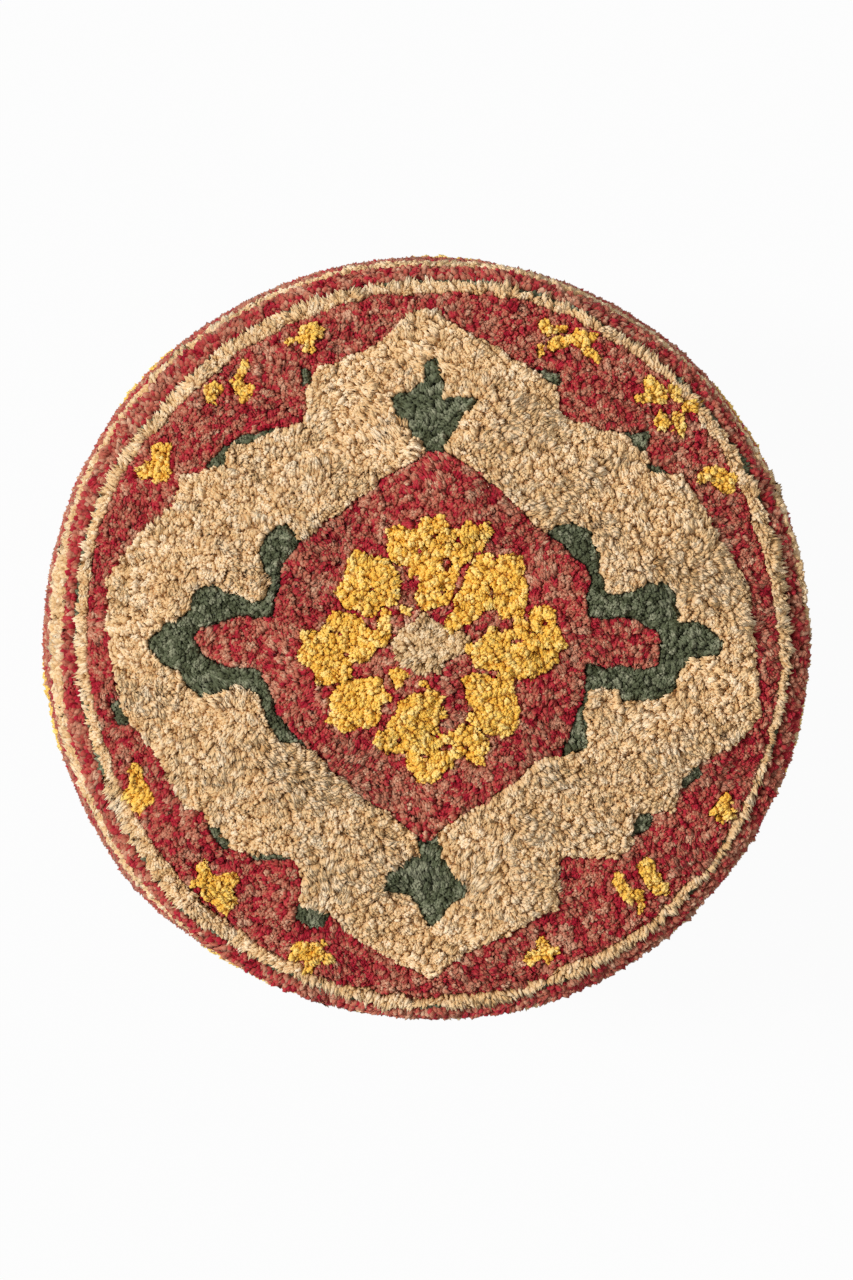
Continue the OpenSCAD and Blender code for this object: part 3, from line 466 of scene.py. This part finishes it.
class Yarns:
    """All the yarns of one panel: where each tip stands, its way out, and its colour's region."""

    def __init__(self, tip, out, along, across, region, edges, push, radius, seed):
        rng = np.random.default_rng(seed)
        n = len(tip)
        groove, near, way = edges
        stands, shorn, carved, clumped, leans, lies = np.array([STANCE[name] for name in region]).T
        warp = noises(tip, 5.5, seed + 18)
        to_middle, clump = clumps(tip + 2.4 * warp, TUFT, seed)
        tuft = tip + to_middle
        to_middle = tangent(to_middle, out)
        spread = np.linalg.norm(to_middle, axis=1)
        comb = 3.6 * noises(tip, 34, seed + 5)
        comb += 3.4 * noises(tuft, 12, seed + 8)
        comb += 3.0 * noises(tuft, 4, seed + 11)
        comb = tangent(comb * lies[:, None], out)
        over = way[:, :1] * along + way[:, 1:] * across
        self.lean = (comb + (0.16 * clumped)[:, None] * to_middle + rng.normal(0, 0.5, (n, 3))
                     + push + over * (leans * near)[:, None])
        relief = clumped * (1.3 * (clump - 0.5) - 0.23 * np.minimum(spread, 3.0) ** 2 + 0.5)
        relief += 0.4 * noise(tip, 3.2, seed + 15) + rng.normal(0, 0.18, n)
        self.slope = to_middle * (0.4 * clumped * np.minimum(1, 3.0 / np.maximum(spread, 1e-6)))[:, None]
        self.height = (stands + body_lumps(tip) + 0.8 * noise(tip, 12, seed + 14) + relief
                       - shorn * near - carved * groove)
        # Painted shade on the tips of tufts that sit low in the pile, up to 0.45 of the way to the dark
        # colour at the roots
        self.painted_hollow_shade = np.clip(0.08 - 0.2 * relief, 0, 0.45)
        shade = 0.34 * noise(tuft, 9, seed + 16) + 0.62 * noise(tip, 3.4, seed + 17)
        self.tint = np.clip(0.52 + 0.45 * shade + 0.46 * (clump - 0.5) + rng.normal(0, 0.1, n), 0, 1)
        self.tip, self.out, self.along, self.across = tip, out, along, across
        self.region = region
        self.radius = radius * rng.uniform(0.85, 1.15, n)
        self.twist = rng.uniform(0, math.pi / 2, n)

    def columns(self, index):
        """The points of leaning columns, two rings of four and a blunt tip, and the painted shade of each
        point.
        """
        tip, out, lean = self.tip[index], self.out[index], self.lean[index]
        high, wide = self.height[index], self.radius[index]
        slope, painted_hollow_shade = self.slope[index], self.painted_hollow_shade[index]
        corners, painted_shade = [], []
        # Painted shade: full at the foot of each column, 0.42 at the upper ring, with more on low-lying
        # tufts
        for rise, bend, size, deep in ((-YARN_L, 0.0, 1.25, 1.0), (-1.7, 0.22, 1.6, 0.42)):
            middle = tip + out * (high + rise)[:, None] + lean * bend
            for k in range(4):
                a = self.twist[index] + k * math.pi / 2
                side = (np.cos(a)[:, None] * self.along[index] + np.sin(a)[:, None] * self.across[index])
                side *= (wide * size)[:, None]
                corners.append(middle + side + out * (side * slope).sum(axis=1)[:, None])
                painted_shade.append(deep + (1 - deep) * painted_hollow_shade)
        corners.append(tip + out * high[:, None] + lean)
        painted_shade.append(painted_hollow_shade)
        points = np.stack(corners, axis=1)
        points[:, :, 2] = np.maximum(points[:, :, 2], 0.05)
        return points, np.stack(painted_shade, axis=1)

    def piece(self, name, chosen, material, slot, nodes):
        """One piece of the chosen yarns."""
        index = np.flatnonzero(chosen)
        points, painted_shade = self.columns(index)
        mesh = yarn_mesh(name, points)
        add_values(mesh, "tint", np.repeat(self.tint[index], YARN_POINTS))
        # The painted shade of each point, which the material reads
        add_values(mesh, "painted_shade", painted_shade)
        add_uv(mesh, len(index))
        place(name, mesh, material, nodes)


def yarn_mesh(name, points):
    """One mesh of many columns, each with four sides and four faces at its tip."""
    count = len(points)
    sides = [(k, (k + 1) % 4, 4 + (k + 1) % 4, 4 + k) for k in range(4)]
    tips = [(4 + k, 4 + (k + 1) % 4, 8) for k in range(4)]
    first = np.arange(count)[:, None, None] * YARN_POINTS
    quads, triangles = (np.array(sides) + first).ravel(), (np.array(tips) + first).ravel()
    mesh = bpy.data.meshes.new(name)
    mesh.vertices.add(count * YARN_POINTS)
    mesh.vertices.foreach_set("co", (points * MM).astype(np.float32).ravel())
    mesh.loops.add(len(quads) + len(triangles))
    mesh.loops.foreach_set("vertex_index", np.concatenate([quads, triangles]).astype(np.int32))
    mesh.polygons.add(count * 8)
    starts = np.concatenate([np.arange(count * 4) * 4, len(quads) + np.arange(count * 4) * 3])
    mesh.polygons.foreach_set("loop_start", starts.astype(np.int32))
    mesh.update(calc_edges=True)
    mesh.polygons.foreach_set("use_smooth", np.ones(count * 8, bool))
    return mesh


def add_values(mesh, name, values):
    """A number for each point, which the material reads by its name."""
    layer = mesh.attributes.new(name, "FLOAT", "POINT")
    layer.data.foreach_set("value", values.astype(np.float32).ravel())


def add_uv(mesh, count):
    """A cell of the map for each yarn, laid out flat around its tip."""
    columns = math.ceil(math.sqrt(count))
    ring = np.array([(1, 1), (-1, 1), (-1, -1), (1, -1)])
    spread = np.concatenate([0.46 * ring, 0.24 * ring, [(0, 0)]])
    row, column = np.divmod(np.arange(count), columns)
    cell = np.stack([column, row], axis=1) + 0.5
    flat = ((cell[:, None] + spread) / columns).reshape(-1, 2)
    corner = np.zeros(len(mesh.loops), np.int32)
    mesh.loops.foreach_get("vertex_index", corner)
    layer = mesh.uv_layers.new(name="OFBake")
    layer.data.foreach_set("uv", flat[corner].astype(np.float32).ravel())


def new_object(name, data):
    """An object of the scene, with the given mesh, lamp or camera."""
    made = bpy.data.objects.new(name, data)
    bpy.context.scene.collection.objects.link(made)
    return made


def place(name, mesh, material, nodes=()):
    """Makes the mesh a piece that rides on the pouf."""
    piece = new_object(name, mesh)
    mesh.materials.append(material)
    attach(piece, "pouf")
    if nodes:
        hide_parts(*nodes)
    return piece


# Materials
def linear(r, g, b):
    """A colour as seen on a screen, from 0 to 255, as Blender wants it."""
    return tuple((c / 255 / 12.92) if c < 10.3 else ((c / 255 + 0.055) / 1.055) ** 2.4
                 for c in (r, g, b)) + (1.0,)


class Graph:
    """A material's nodes."""

    def __init__(self, name):
        self.material = bpy.data.materials.new(name)
        self.material.use_nodes = True
        self.tree = self.material.node_tree
        self.shader = self.tree.nodes["Principled BSDF"]

    def add(self, kind, values=None, **settings):
        node = self.tree.nodes.new(kind)
        for key, value in settings.items():
            setattr(node, key, value)
        for key, value in (values or {}).items():
            if isinstance(value, bpy.types.NodeSocket):
                self.tree.links.new(value, node.inputs[key])
            else:
                node.inputs[key].default_value = value
        return node

    def link(self, source, name):
        self.tree.links.new(source, self.shader.inputs[name])

    def ramp(self, factor, stops):
        node = self.add("ShaderNodeValToRGB", {"Fac": factor})
        for extra in stops[2:]:
            node.color_ramp.elements.new(extra[0])
        for element, (position, colour) in zip(node.color_ramp.elements, stops):
            element.position = position
            element.color = linear(*colour)
        return node.outputs["Color"]

    def mix(self, factor, a, b):
        return self.add("ShaderNodeMix", {0: factor, 6: a, 7: b}, data_type="RGBA").outputs[2]

    def combine(self, operation, a, b):
        return self.add("ShaderNodeMath", {0: a, 1: b}, operation=operation).outputs[0]

    def where(self):
        return self.add("ShaderNodeTexCoord").outputs["Object"]

    def noise(self, where, scale, detail):
        values = {"Vector": where, "Scale": scale, "Detail": detail}
        return self.add("ShaderNodeTexNoise", values).outputs["Fac"]

    def set(self, **values):
        for key, value in values.items():
            self.shader.inputs[key.replace("_", " ")].default_value = value

    def bump(self, height, distance, strength):
        node = self.add("ShaderNodeBump", {"Height": height, "Distance": distance, "Strength": strength})
        self.link(node.outputs["Normal"], "Normal")


def pile_material(name, stops, painted_root_shade):
    """Cut yarn: a tone for each tuft, painted shade towards the roots and on low-lying tufts, and fine
    fibres.
    """
    g = Graph(name)
    tint = g.add("ShaderNodeAttribute", attribute_name="tint").outputs["Fac"]
    painted_shade = g.add("ShaderNodeAttribute", attribute_name="painted_shade").outputs["Fac"]
    strand = g.noise(g.where(), 900.0, 2.0)
    shade = g.add("ShaderNodeMapRange", {"Value": strand, "From Min": 0.3, "From Max": 0.7,
                                         "To Min": -0.07, "To Max": 0.07}).outputs["Result"]
    tip = g.ramp(g.combine("ADD", tint, shade), stops)
    # Painted shade: the colour is mixed towards the dark colour at the roots by the painted shade of each
    # point
    g.link(g.mix(painted_shade, tip, linear(*painted_root_shade)), "Base Color")
    g.set(Roughness=0.95, Sheen_Weight=0.05, Sheen_Roughness=0.5, Specular_IOR_Level=0.08)
    g.bump(strand, 0.0006, 0.6)
    return g.material


def weave_material(name, light, dark, pitch, rough=0.9):
    """Plain weave: two crossing sets of threads of the given pitch, in metres."""
    g = Graph(name)
    where = g.where()
    slub = g.noise(where, 260.0, 5.0)
    threads = []
    for direction in ("X", "Y"):
        wave = g.add("ShaderNodeTexWave", {"Vector": where, "Scale": 0.314 / pitch, "Distortion": 0.6,
                                           "Detail": 2.0}, wave_type="BANDS", bands_direction=direction)
        threads.append(wave.outputs["Fac"])
    cloth = g.combine("MULTIPLY", *threads)
    worn = g.combine("MULTIPLY", g.combine("ADD", cloth, slub), 0.6)
    g.link(g.ramp(worn, [(0.15, dark), (0.75, light)]), "Base Color")
    g.set(Roughness=rough, Sheen_Weight=0.1, Specular_IOR_Level=0.2)
    g.bump(cloth, 0.0005, 0.7)
    return g.material


def metal_material(name):
    """Nickel-plated zinc with a fine brushed grain and random darker patches."""
    g = Graph(name)
    where = g.where()
    stretched = g.add("ShaderNodeMapping", {"Vector": where, "Scale": (200.0, 2500.0, 2500.0)}).outputs[0]
    grain = g.noise(stretched, 1.0, 3.0)
    wear = g.noise(where, 260.0, 3.0)
    g.link(g.ramp(wear, [(0.35, (150, 146, 138)), (0.65, (196, 193, 186))]), "Base Color")
    g.link(g.add("ShaderNodeMapRange", {"Value": grain, "To Min": 0.26, "To Max": 0.5}).outputs["Result"],
           "Roughness")
    g.set(Metallic=1.0)
    g.bump(grain, 0.00005, 0.4)
    return g.material


def plastic_material(name):
    """Moulded teeth, satin, with a slight mottle."""
    g = Graph(name)
    mottle = g.noise(g.where(), 700.0, 3.0)
    g.link(g.ramp(mottle, [(0.3, (58, 50, 44)), (0.7, (82, 72, 62))]), "Base Color")
    g.set(Roughness=0.42)
    g.bump(mottle, 0.00008, 0.4)
    return g.material


# Panels of yarn
def hex_grid(width, height, pitch, rng):
    """Places on a staggered grid around the origin, each a little off its spot."""
    rows = int(height / (pitch * 0.866)) + 1
    columns = int(width / pitch) + 1
    j, i = np.mgrid[0:rows, 0:columns]
    x = (i + 0.5 * (j % 2)) * pitch - width / 2
    y = j * pitch * 0.866 - height / 2
    spots = np.stack([x.ravel(), y.ravel()], axis=1)
    return spots + rng.uniform(-0.3, 0.3, spots.shape) * pitch


def top_yarns():
    """The yarns of the top panel, up to its seam."""
    rng = np.random.default_rng(seed=101)
    spots = hex_grid(2 * seam_r, 2 * seam_r, TOP_PITCH, rng)
    end_r = shoulder_c[0] + SHOULDER_R * math.cos(SEAM_A + (SEAM_W / 2 + CARVE_W) / SHOULDER_R)
    spots = spots[np.hypot(spots[:, 0], spots[:, 1]) < end_r]
    x, y = spots[:, 0], spots[:, 1]
    r = np.hypot(x, y)
    z, out_r, out_z = top_profile(r)
    radial = np.stack([x, y], axis=1) / np.maximum(r, 1e-6)[:, None]
    turn = np.arctan2(y, x)
    rim = smooth((r - rim_in_r + 8) / (end_r - rim_in_r + 8))
    moved = r + rim * drift(SEAM_DRIFT, turn)
    tip = np.column_stack([radial * moved[:, None], z])
    out = np.column_stack([radial * out_r[:, None], out_z])
    along = unit(np.stack([out[:, 2], np.zeros(len(x)), -out[:, 0]], axis=1))
    across = np.cross(out, along)
    number = top_region(x, y)
    edges = borders(top_region, x, y, number)
    region = np.array(TOP_REGIONS)[number]
    shows = seam_shows(turn)
    reach = smooth((r - end_r + 7) / 7) * (2.6 * (1 - shows) + 1.6 * noise(tip, 4, 103))
    outwards = np.column_stack([radial, np.full(len(x), -0.25)])
    push = outwards * reach[:, None]
    return Yarns(tip, out, along, across, region, edges, push, TOP_YARN_R, seed=41)


def seam_shows(turn):
    """How far the green of the seam is uncovered, from 0 to 1."""
    shown = np.zeros(len(turn))
    for bearing, reach in SEAM_SHOWS:
        off = np.abs((np.degrees(turn) - bearing + 180) % 360 - 180)
        shown = np.maximum(shown, smooth(1.6 - 1.2 * off / reach))
    return shown * (0.7 + 0.3 * np.sin(turn * 97) * np.sin(turn * 61))


def wall_yarns():
    """The yarns of the wall, from the seam to where the foot turns under."""
    rng = np.random.default_rng(seed=102)
    length = foot_edge_s + SEAM_W / 2 + CARVE_W
    spots = hex_grid(math.pi * POUF_D, length, WALL_PITCH, rng)
    arc, s = spots[:, 0], spots[:, 1] + length / 2 - SEAM_W / 2 - CARVE_W
    r, z, out_r, out_z = wall_profile(s)
    keep = rng.random(len(arc)) < np.minimum(1, r / (POUF_D / 2) * 1.06)
    arc, s, r, z, out_r, out_z = (v[keep] for v in (arc, s, r, z, out_r, out_z))
    turn = arc / (POUF_D / 2)
    c, d = np.cos(turn), np.sin(turn)
    to_band = smooth(s / SHOULDER_SETTLE)
    to_wall = smooth((s - SHOULDER_SETTLE) / WALL_SETTLE)
    moved = (r + drift(SEAM_DRIFT, turn) * (1 - to_band) + drift(BAND_DRIFT, turn) * to_band * (1 - to_wall)
             + drift(WALL_DRIFT, turn) * to_wall * smooth(z / 160))
    tip = np.stack([moved * c, moved * d, z], axis=1)
    out = np.stack([c * out_r, d * out_r, out_z], axis=1)
    along = np.stack([-d, c, np.zeros(len(c))], axis=1)
    across = np.stack([c * out_z, d * out_z, -out_r], axis=1)
    number = wall_region(arc, s)
    groove, near, way = borders(wall_region, arc, s, number)
    near = np.where((s < 0) | (s > foot_edge_s - 4), 0, near)
    region = np.array(WALL_REGIONS)[number]
    push = out * (3.0 * seam_shows(turn) * (region == "seam_line"))[:, None]
    return Yarns(tip, out, along, across, region, (groove, near, way), push, WALL_YARN_R, seed=71)


# Each yarn's shades from its darkest tufts to its lightest, and the dark colour painted as shade at its
# roots and between the yarns
YARN = {
    "red": ([(0.0, (150, 14, 42)), (0.25, (188, 42, 62)), (0.42, (195, 73, 73)),
             (0.58, (192, 114, 91)), (0.8, (204, 146, 118)), (1.0, (226, 182, 150))], (108, 20, 10)),
    "cream": ([(0.0, (230, 195, 143)), (0.5, (242, 210, 163)), (1.0, (253, 234, 202))], (168, 116, 54)),
    "green": ([(0.0, (72, 76, 54)), (0.5, (106, 112, 86)), (1.0, (168, 168, 140))], (40, 38, 10)),
    "gold": ([(0.0, (240, 188, 78)), (0.5, (252, 211, 106)), (1.0, (255, 233, 156))], (202, 138, 20)),
    "oatmeal": ([(0.0, (212, 174, 126)), (0.5, (230, 197, 148)), (1.0, (248, 225, 188))], (150, 108, 56))}
# The yarn of each pile that isn't green, and how many pieces the pile is divided into
PILES = {"field": ("cream", 4), "rim": ("cream", 1), "border": ("red", 3), "medallion": ("red", 2),
         "petal": ("gold", 1), "rosette": ("gold", 1), "flower_centre": ("oatmeal", 1),
         "wall_top_band": ("red", 1), "wall_upper_stripe": ("cream", 1), "wall_field": ("red", 8),
         "wall_flower": ("gold", 1), "wall_lower_stripe": ("cream", 1), "wall_bottom_band": ("red", 3)}


def pile_pieces():
    """The pile of each colour region, large ones in sectors."""
    yarn = {colour: pile_material(colour + "_yarn", stops, painted_root_shade) for colour, (stops, painted_root_shade) in YARN.items()}
    for panel, names in ((top_yarns(), TOP_REGIONS), (wall_yarns(), WALL_REGIONS)):
        bearing = np.arctan2(panel.tip[:, 1], panel.tip[:, 0]) / (2 * math.pi) + 0.5
        for name in names:
            colour, parts = PILES.get(name, ("green", 1))
            sector = np.minimum((bearing * parts).astype(int), parts - 1)
            for part in range(parts):
                chosen = (panel.region == name) & (sector == part)
                title = name + "_yarns" + (f"_{part + 1}" if parts > 1 else "")
                panel.piece(title, chosen, yarn[colour], colour + "_pile", [name + "_pile"])


# Base, zip and insert
HALVES = {1: "back", -1: "front"}


def mesh_from(name, points, faces, rounded=True):
    """A mesh in metres from points in millimetres."""
    mesh = bpy.data.meshes.new(name)
    mesh.from_pydata([tuple(c * MM for c in p) for p in points], [], faces)
    mesh.polygons.foreach_set("use_smooth", np.full(len(mesh.polygons), rounded))
    mesh.update()
    return mesh


def grid_faces(rows, columns, start, flip):
    """The faces between rows of points, from the point numbered start."""
    corners = (0, 1, columns + 1, columns)[::-1 if flip else 1]
    return [tuple(start + i * columns + j + corner for corner in corners)
            for i in range(rows - 1) for j in range(columns - 1)]


def cloth_faces(rows, columns, side):
    """The two faces of a cloth and the strip round its edge, all turned outwards."""
    count = rows * columns
    faces = grid_faces(rows, columns, 0, side > 0) + grid_faces(rows, columns, count, side < 0)
    grid = np.arange(count).reshape(rows, columns)
    border = np.concatenate([grid[0], grid[1:, -1], grid[-1, -2::-1], grid[-2:0:-1, 0]]).tolist()
    for a, b in zip(border, border[1:] + border[:1]):
        face = (a, b, b + count, a + count)
        faces.append(face if side > 0 else face[::-1])
    return faces


def canvas_half(side, material):
    """One half of the base: a panel with a folded, sewn hem along the slot."""
    radius = BASE_R - 0.3
    half = SLOT_L / 2
    inner = np.linspace(-half, half, 81)
    outer = np.linspace(half + 0.8, radius, 14)
    xs = np.concatenate([-outer[::-1], inner, outer])
    beside = np.full(len(outer), 0.15)
    start = np.concatenate([beside, np.full(len(inner), SLOT_W / 2), beside])
    end = np.maximum(np.sqrt(np.maximum(radius ** 2 - xs ** 2, 0)), start + 0.02)
    rows = np.concatenate([np.linspace(0, 0.1, 9), np.linspace(0.1, 0.95, 40)[1:],
                           np.linspace(0.95, 1, 5)[1:]])
    x, y = np.broadcast_arrays(xs, start + (end - start) * rows[:, None])
    flat = np.stack([x, y * side, np.zeros(y.shape)], axis=2).reshape(-1, 3)
    hem = 0.45 * (1 - np.clip((y - start - 9) / 1.5, 0, 1)).ravel()
    lift = 0.35 + 0.3 * noise(flat, 46, 51 + side) - hem
    lower = np.column_stack([flat[:, :2], PANEL_Z + lift])
    points = np.concatenate([lower, flat + [0, 0, PANEL_Z + CANVAS_T]])
    name = "base_canvas_" + HALVES[side]
    mesh = mesh_from(name, points, cloth_faces(len(rows), len(xs), side))
    piece = place(name, mesh, material, ["base_panel_" + HALVES[side]])


def stitch(points, faces, start, end):
    """One stitch: a short thread that comes out under the cloth and goes back in."""
    a, b = np.array(start, float), np.array(end, float)
    d = (b - a) / np.linalg.norm(b - a)
    out = np.array([0.0, 0.0, -1.0])
    side = np.cross(d, out)
    base = len(points)
    stations = ((0.0, -0.1, 0.16), (0.15, 0.14, 0.24), (0.5, 0.24, 0.27), (0.85, 0.14, 0.24),
                (1.0, -0.1, 0.16))
    for t, rise, thick in stations:
        middle = a + (b - a) * t + out * rise
        for k in range(5):
            angle = 2 * math.pi * k / 5
            points.append(middle + thick * (math.cos(angle) * side + math.sin(angle) * out))
    for row in range(base, base + 20, 5):
        for k in range(5):
            j = (k + 1) % 5
            faces.append((row + k, row + j, row + 5 + j, row + 5 + k))
    faces.append(tuple(base + k for k in range(4, -1, -1)))
    faces.append(tuple(base + 20 + k for k in range(5)))


def base_stitches(material):
    """Two rows along each side of the slot, bars at its ends and one round the panel."""
    points, faces = [], []
    hem_z = PANEL_Z - 0.1
    for side in (1, -1):
        for off in (2.5, 8.0):
            y = side * (SLOT_W / 2 + off)
            for x in np.arange(-SLOT_L / 2 + 2, SLOT_L / 2 - 2, STITCH_PITCH):
                stitch(points, faces, (x, y, hem_z), (x + STITCH_L, y, hem_z))
    half, bar_z = STITCH_L / 2, hem_z + 0.1
    for x in (-SLOT_L / 2 - 2.2, SLOT_L / 2 + 2.2):
        for y in np.arange(-9, 9, 0.75):
            stitch(points, faces, (x - half, y, bar_z), (x + half, y + 0.3, bar_z))
    ring = BASE_R - 5.5
    for k in range(RING_STITCHES):
        a, b = 2 * math.pi * k / RING_STITCHES, 2 * math.pi * (k + 0.76) / RING_STITCHES
        stitch(points, faces, (ring * math.cos(a), ring * math.sin(a), PANEL_Z + 0.3),
               (ring * math.cos(b), ring * math.sin(b), PANEL_Z + 0.3))
    place("base_stitching", mesh_from("base_stitching", points, faces), material)


def zip_tape(side, material):
    """A woven tape beside the teeth, its underside finely ribbed away from the edge by the teeth."""
    xs = np.linspace(-TAPE_L / 2, TAPE_L / 2, 166)
    ys = np.array([0.0, 0.5, 1.0, 1.6, 2.2, 3, 5, 7, 9, 11, 13, 14, 14.6, TAPE_W])
    points = []
    for rise, wave in ((0, 0.06), (TAPE_T, 0)):
        for y in ys:
            for i, x in enumerate(xs):
                z = TAPE_Z + rise + wave * math.sin(i * math.pi / 2) * (y > 2)
                points.append((x, side * (CHAIN_HALF_W + y), z))
    name = "zip_tape_weave_" + HALVES[side]
    mesh = mesh_from(name, points, cloth_faces(len(ys), len(xs), side), rounded=False)
    piece = place(name, mesh, material, ["zip_tape_" + HALVES[side]])


def lathe(name, profile, steps, lump, seed):
    """A closed form of turning, softly lumpy as stuffing makes it."""
    points = [(0.0, 0.0, profile[0][1])]
    for r, z in profile[1:-1]:
        for k in range(steps):
            a = 2 * math.pi * k / steps
            points.append((r * math.cos(a), r * math.sin(a), z))
    points.append((0.0, 0.0, profile[-1][1]))
    array = np.array(points)
    array -= unit(array - [0, 0, GIRTH_Z]) * (np.abs(noise(array, 55, seed)) * lump)[:, None]
    faces = [(0, 1 + k, 1 + (k + 1) % steps) for k in range(steps)]
    for i in range(len(profile) - 3):
        for k in range(steps):
            a, b = 1 + i * steps + k, 1 + i * steps + (k + 1) % steps
            faces.append((a, a + steps, b + steps, b))
    last = len(points) - 1
    faces += [(last, last - steps + (k + 1) % steps, last - steps + k) for k in range(steps)]
    return mesh_from(name, array, faces)


def insert_profile(inset, top_r, low_r, floor_z):
    """The insert's half profile from the middle of its top to the middle of its base."""
    top_c = meet(crown_c, CROWN_R - inset - top_r, bow_c, BOW_R - inset - top_r)
    low_c = np.array([bow_c[0] + math.sqrt((BOW_R - inset - low_r) ** 2 - (floor_z + low_r - GIRTH_Z) ** 2),
                      floor_z + low_r])
    crown_a = math.atan2(top_c[1] - crown_c[1], top_c[0])
    bow_a = math.atan2(top_c[1] - bow_c[1], top_c[0] - bow_c[0])
    heel_a = math.atan2(low_c[1] - bow_c[1], low_c[0] - bow_c[0])
    arcs = ((crown_c, CROWN_R - inset, math.pi / 2, crown_a, 24), (top_c, top_r, crown_a, bow_a, 14),
            (bow_c, BOW_R - inset, bow_a, heel_a, 28), (low_c, low_r, heel_a, -math.pi / 2, 12))
    path = [(c[0] + r * math.cos(a), c[1] + r * math.sin(a))
            for c, r, first, last, n in arcs for a in np.linspace(first, last, n)[:-1]]
    return path + [(low_c[0] * t, floor_z) for t in np.linspace(1, 0, 14)]


def insert_pieces(cloth, fill):
    """The insert's sewn cover and the loose fill inside it."""
    outside = insert_profile(inset=16.2, top_r=70, low_r=30, floor_z=16.6)
    cover = lathe("insert_cushion", outside, steps=128, lump=2.2, seed=61)
    piece = place("insert_cushion", cover, cloth,
                  ["insert_top", "insert_wall", "insert_base"])
    inside_cover = insert_profile(inset=19.5, top_r=68, low_r=28, floor_z=20.0)
    stuffing = lathe("insert_stuffing", inside_cover, steps=96, lump=5.0, seed=62)
    place("insert_stuffing", stuffing, fill, ["insert_fill"])


def dress_node(node, material):
    """Gives a carried-over node its own material."""
    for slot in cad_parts[node].material_slots:
        slot.material = material


# Stage, light and camera
FLOOR_HALF = 8000.0
WORLD_LIGHT = 0.46
# Each lamp's name, the way towards it, its strength and how many degrees wide it is
LAMPS = (("key", (-0.92, 0.12, 1.0), 3.1, 12), ("fill", (0.8, 0.75, 0.2), 0.42, 60))
CAMERA_Z = 3.0
LENS = 122.1
SENSOR = 36.0
PHOTO_H = 1280
SHIFT_PX = (-4.0, 1.0)


def floor():
    """A pale floor that a camera sees nearly white, and that keeps the pouf's shadow."""
    g = Graph("floor_pale")
    g.set(Base_Color=(0.4, 0.4, 0.4, 1.0), Roughness=0.9, Specular_IOR_Level=0.1)
    ray = g.add("ShaderNodeLightPath").outputs["Is Camera Ray"]
    share = g.combine("MULTIPLY", ray, 0.96)
    glow = g.add("ShaderNodeEmission", {"Color": (1, 1, 1, 1), "Strength": 1.0}).outputs[0]
    mixed = g.add("ShaderNodeMixShader", {0: share, 1: g.shader.outputs[0], 2: glow}).outputs[0]
    output = next(n for n in g.tree.nodes if n.type == "OUTPUT_MATERIAL")
    g.tree.links.new(mixed, output.inputs["Surface"])
    corners = [(x * FLOOR_HALF, y * FLOOR_HALF, 0) for x, y in ((-1, -1), (1, -1), (1, 1), (-1, 1))]
    mesh = mesh_from("floor", corners, [(0, 1, 2, 3)])
    mesh.materials.append(g.material)
    new_object("floor", mesh)


def lights():
    """An even pale world, a soft key from the left and a weak fill from the upper right."""
    world = bpy.data.worlds.new("studio")
    world.use_nodes = True
    nodes, links = world.node_tree.nodes, world.node_tree.links
    background = nodes["Background"]
    ray = nodes.new("ShaderNodeLightPath")
    strength = nodes.new("ShaderNodeMapRange")
    strength.inputs["To Min"].default_value = WORLD_LIGHT
    links.new(ray.outputs["Is Camera Ray"], strength.inputs["Value"])
    links.new(strength.outputs["Result"], background.inputs["Strength"])
    background.inputs["Color"].default_value = (1, 1, 1, 1)
    bpy.context.scene.world = world
    for name, towards, energy, angle in LAMPS:
        lamp = bpy.data.lights.new(name, "SUN")
        lamp.energy = energy
        lamp.angle = math.radians(angle)
        x, y, z = np.array(towards) / np.linalg.norm(towards)
        new_object(name, lamp).rotation_euler = (math.acos(z), 0, math.atan2(y, x) + math.pi / 2)


def camera():
    """Straight above, 3 m over the floor, so that the outline fills the photograph's frame."""
    data = bpy.data.cameras.new("camera")
    data.lens = LENS
    data.sensor_width = SENSOR
    data.shift_x, data.shift_y = (shift / PHOTO_H for shift in SHIFT_PX)
    data.clip_end = 20
    eye = new_object("camera", data)
    eye.location = (0, 0, CAMERA_Z)
    bpy.context.scene.camera = eye


def main():
    camera()
    bpy.context.scene.view_settings.view_transform = "Standard"
    floor()
    lights()
    pile_pieces()
    canvas = weave_material("base_canvas_weave", (176, 154, 122), (112, 94, 70), 0.0012)
    thread = weave_material("sewing_thread", (206, 190, 160), (150, 132, 104), 0.0005, 0.7)
    tape = weave_material("tape_weave", (96, 84, 72), (52, 44, 38), 0.0008)
    linen = weave_material("backing_weave", (206, 196, 174), (146, 134, 112), 0.0016)
    muslin = weave_material("insert_muslin", (238, 234, 224), (198, 192, 178), 0.0009)
    fluff = weave_material("insert_fluff", (244, 242, 236), (216, 212, 204), 0.004)
    for side in (1, -1):
        canvas_half(side, canvas)
        zip_tape(side, tape)
    base_stitches(thread)
    insert_pieces(muslin, fluff)
    for node in ("top_backing", "wall_backing"):
        dress_node(node, linen)
    for node in ("zip_teeth_front", "zip_teeth_back"):
        dress_node(node, plastic_material(node + "_plastic"))
    for node in ("zip_top_stops", "zip_bottom_stop", "zip_slider", "zip_pull"):
        dress_node(node, metal_material(node + "_metal"))


main()
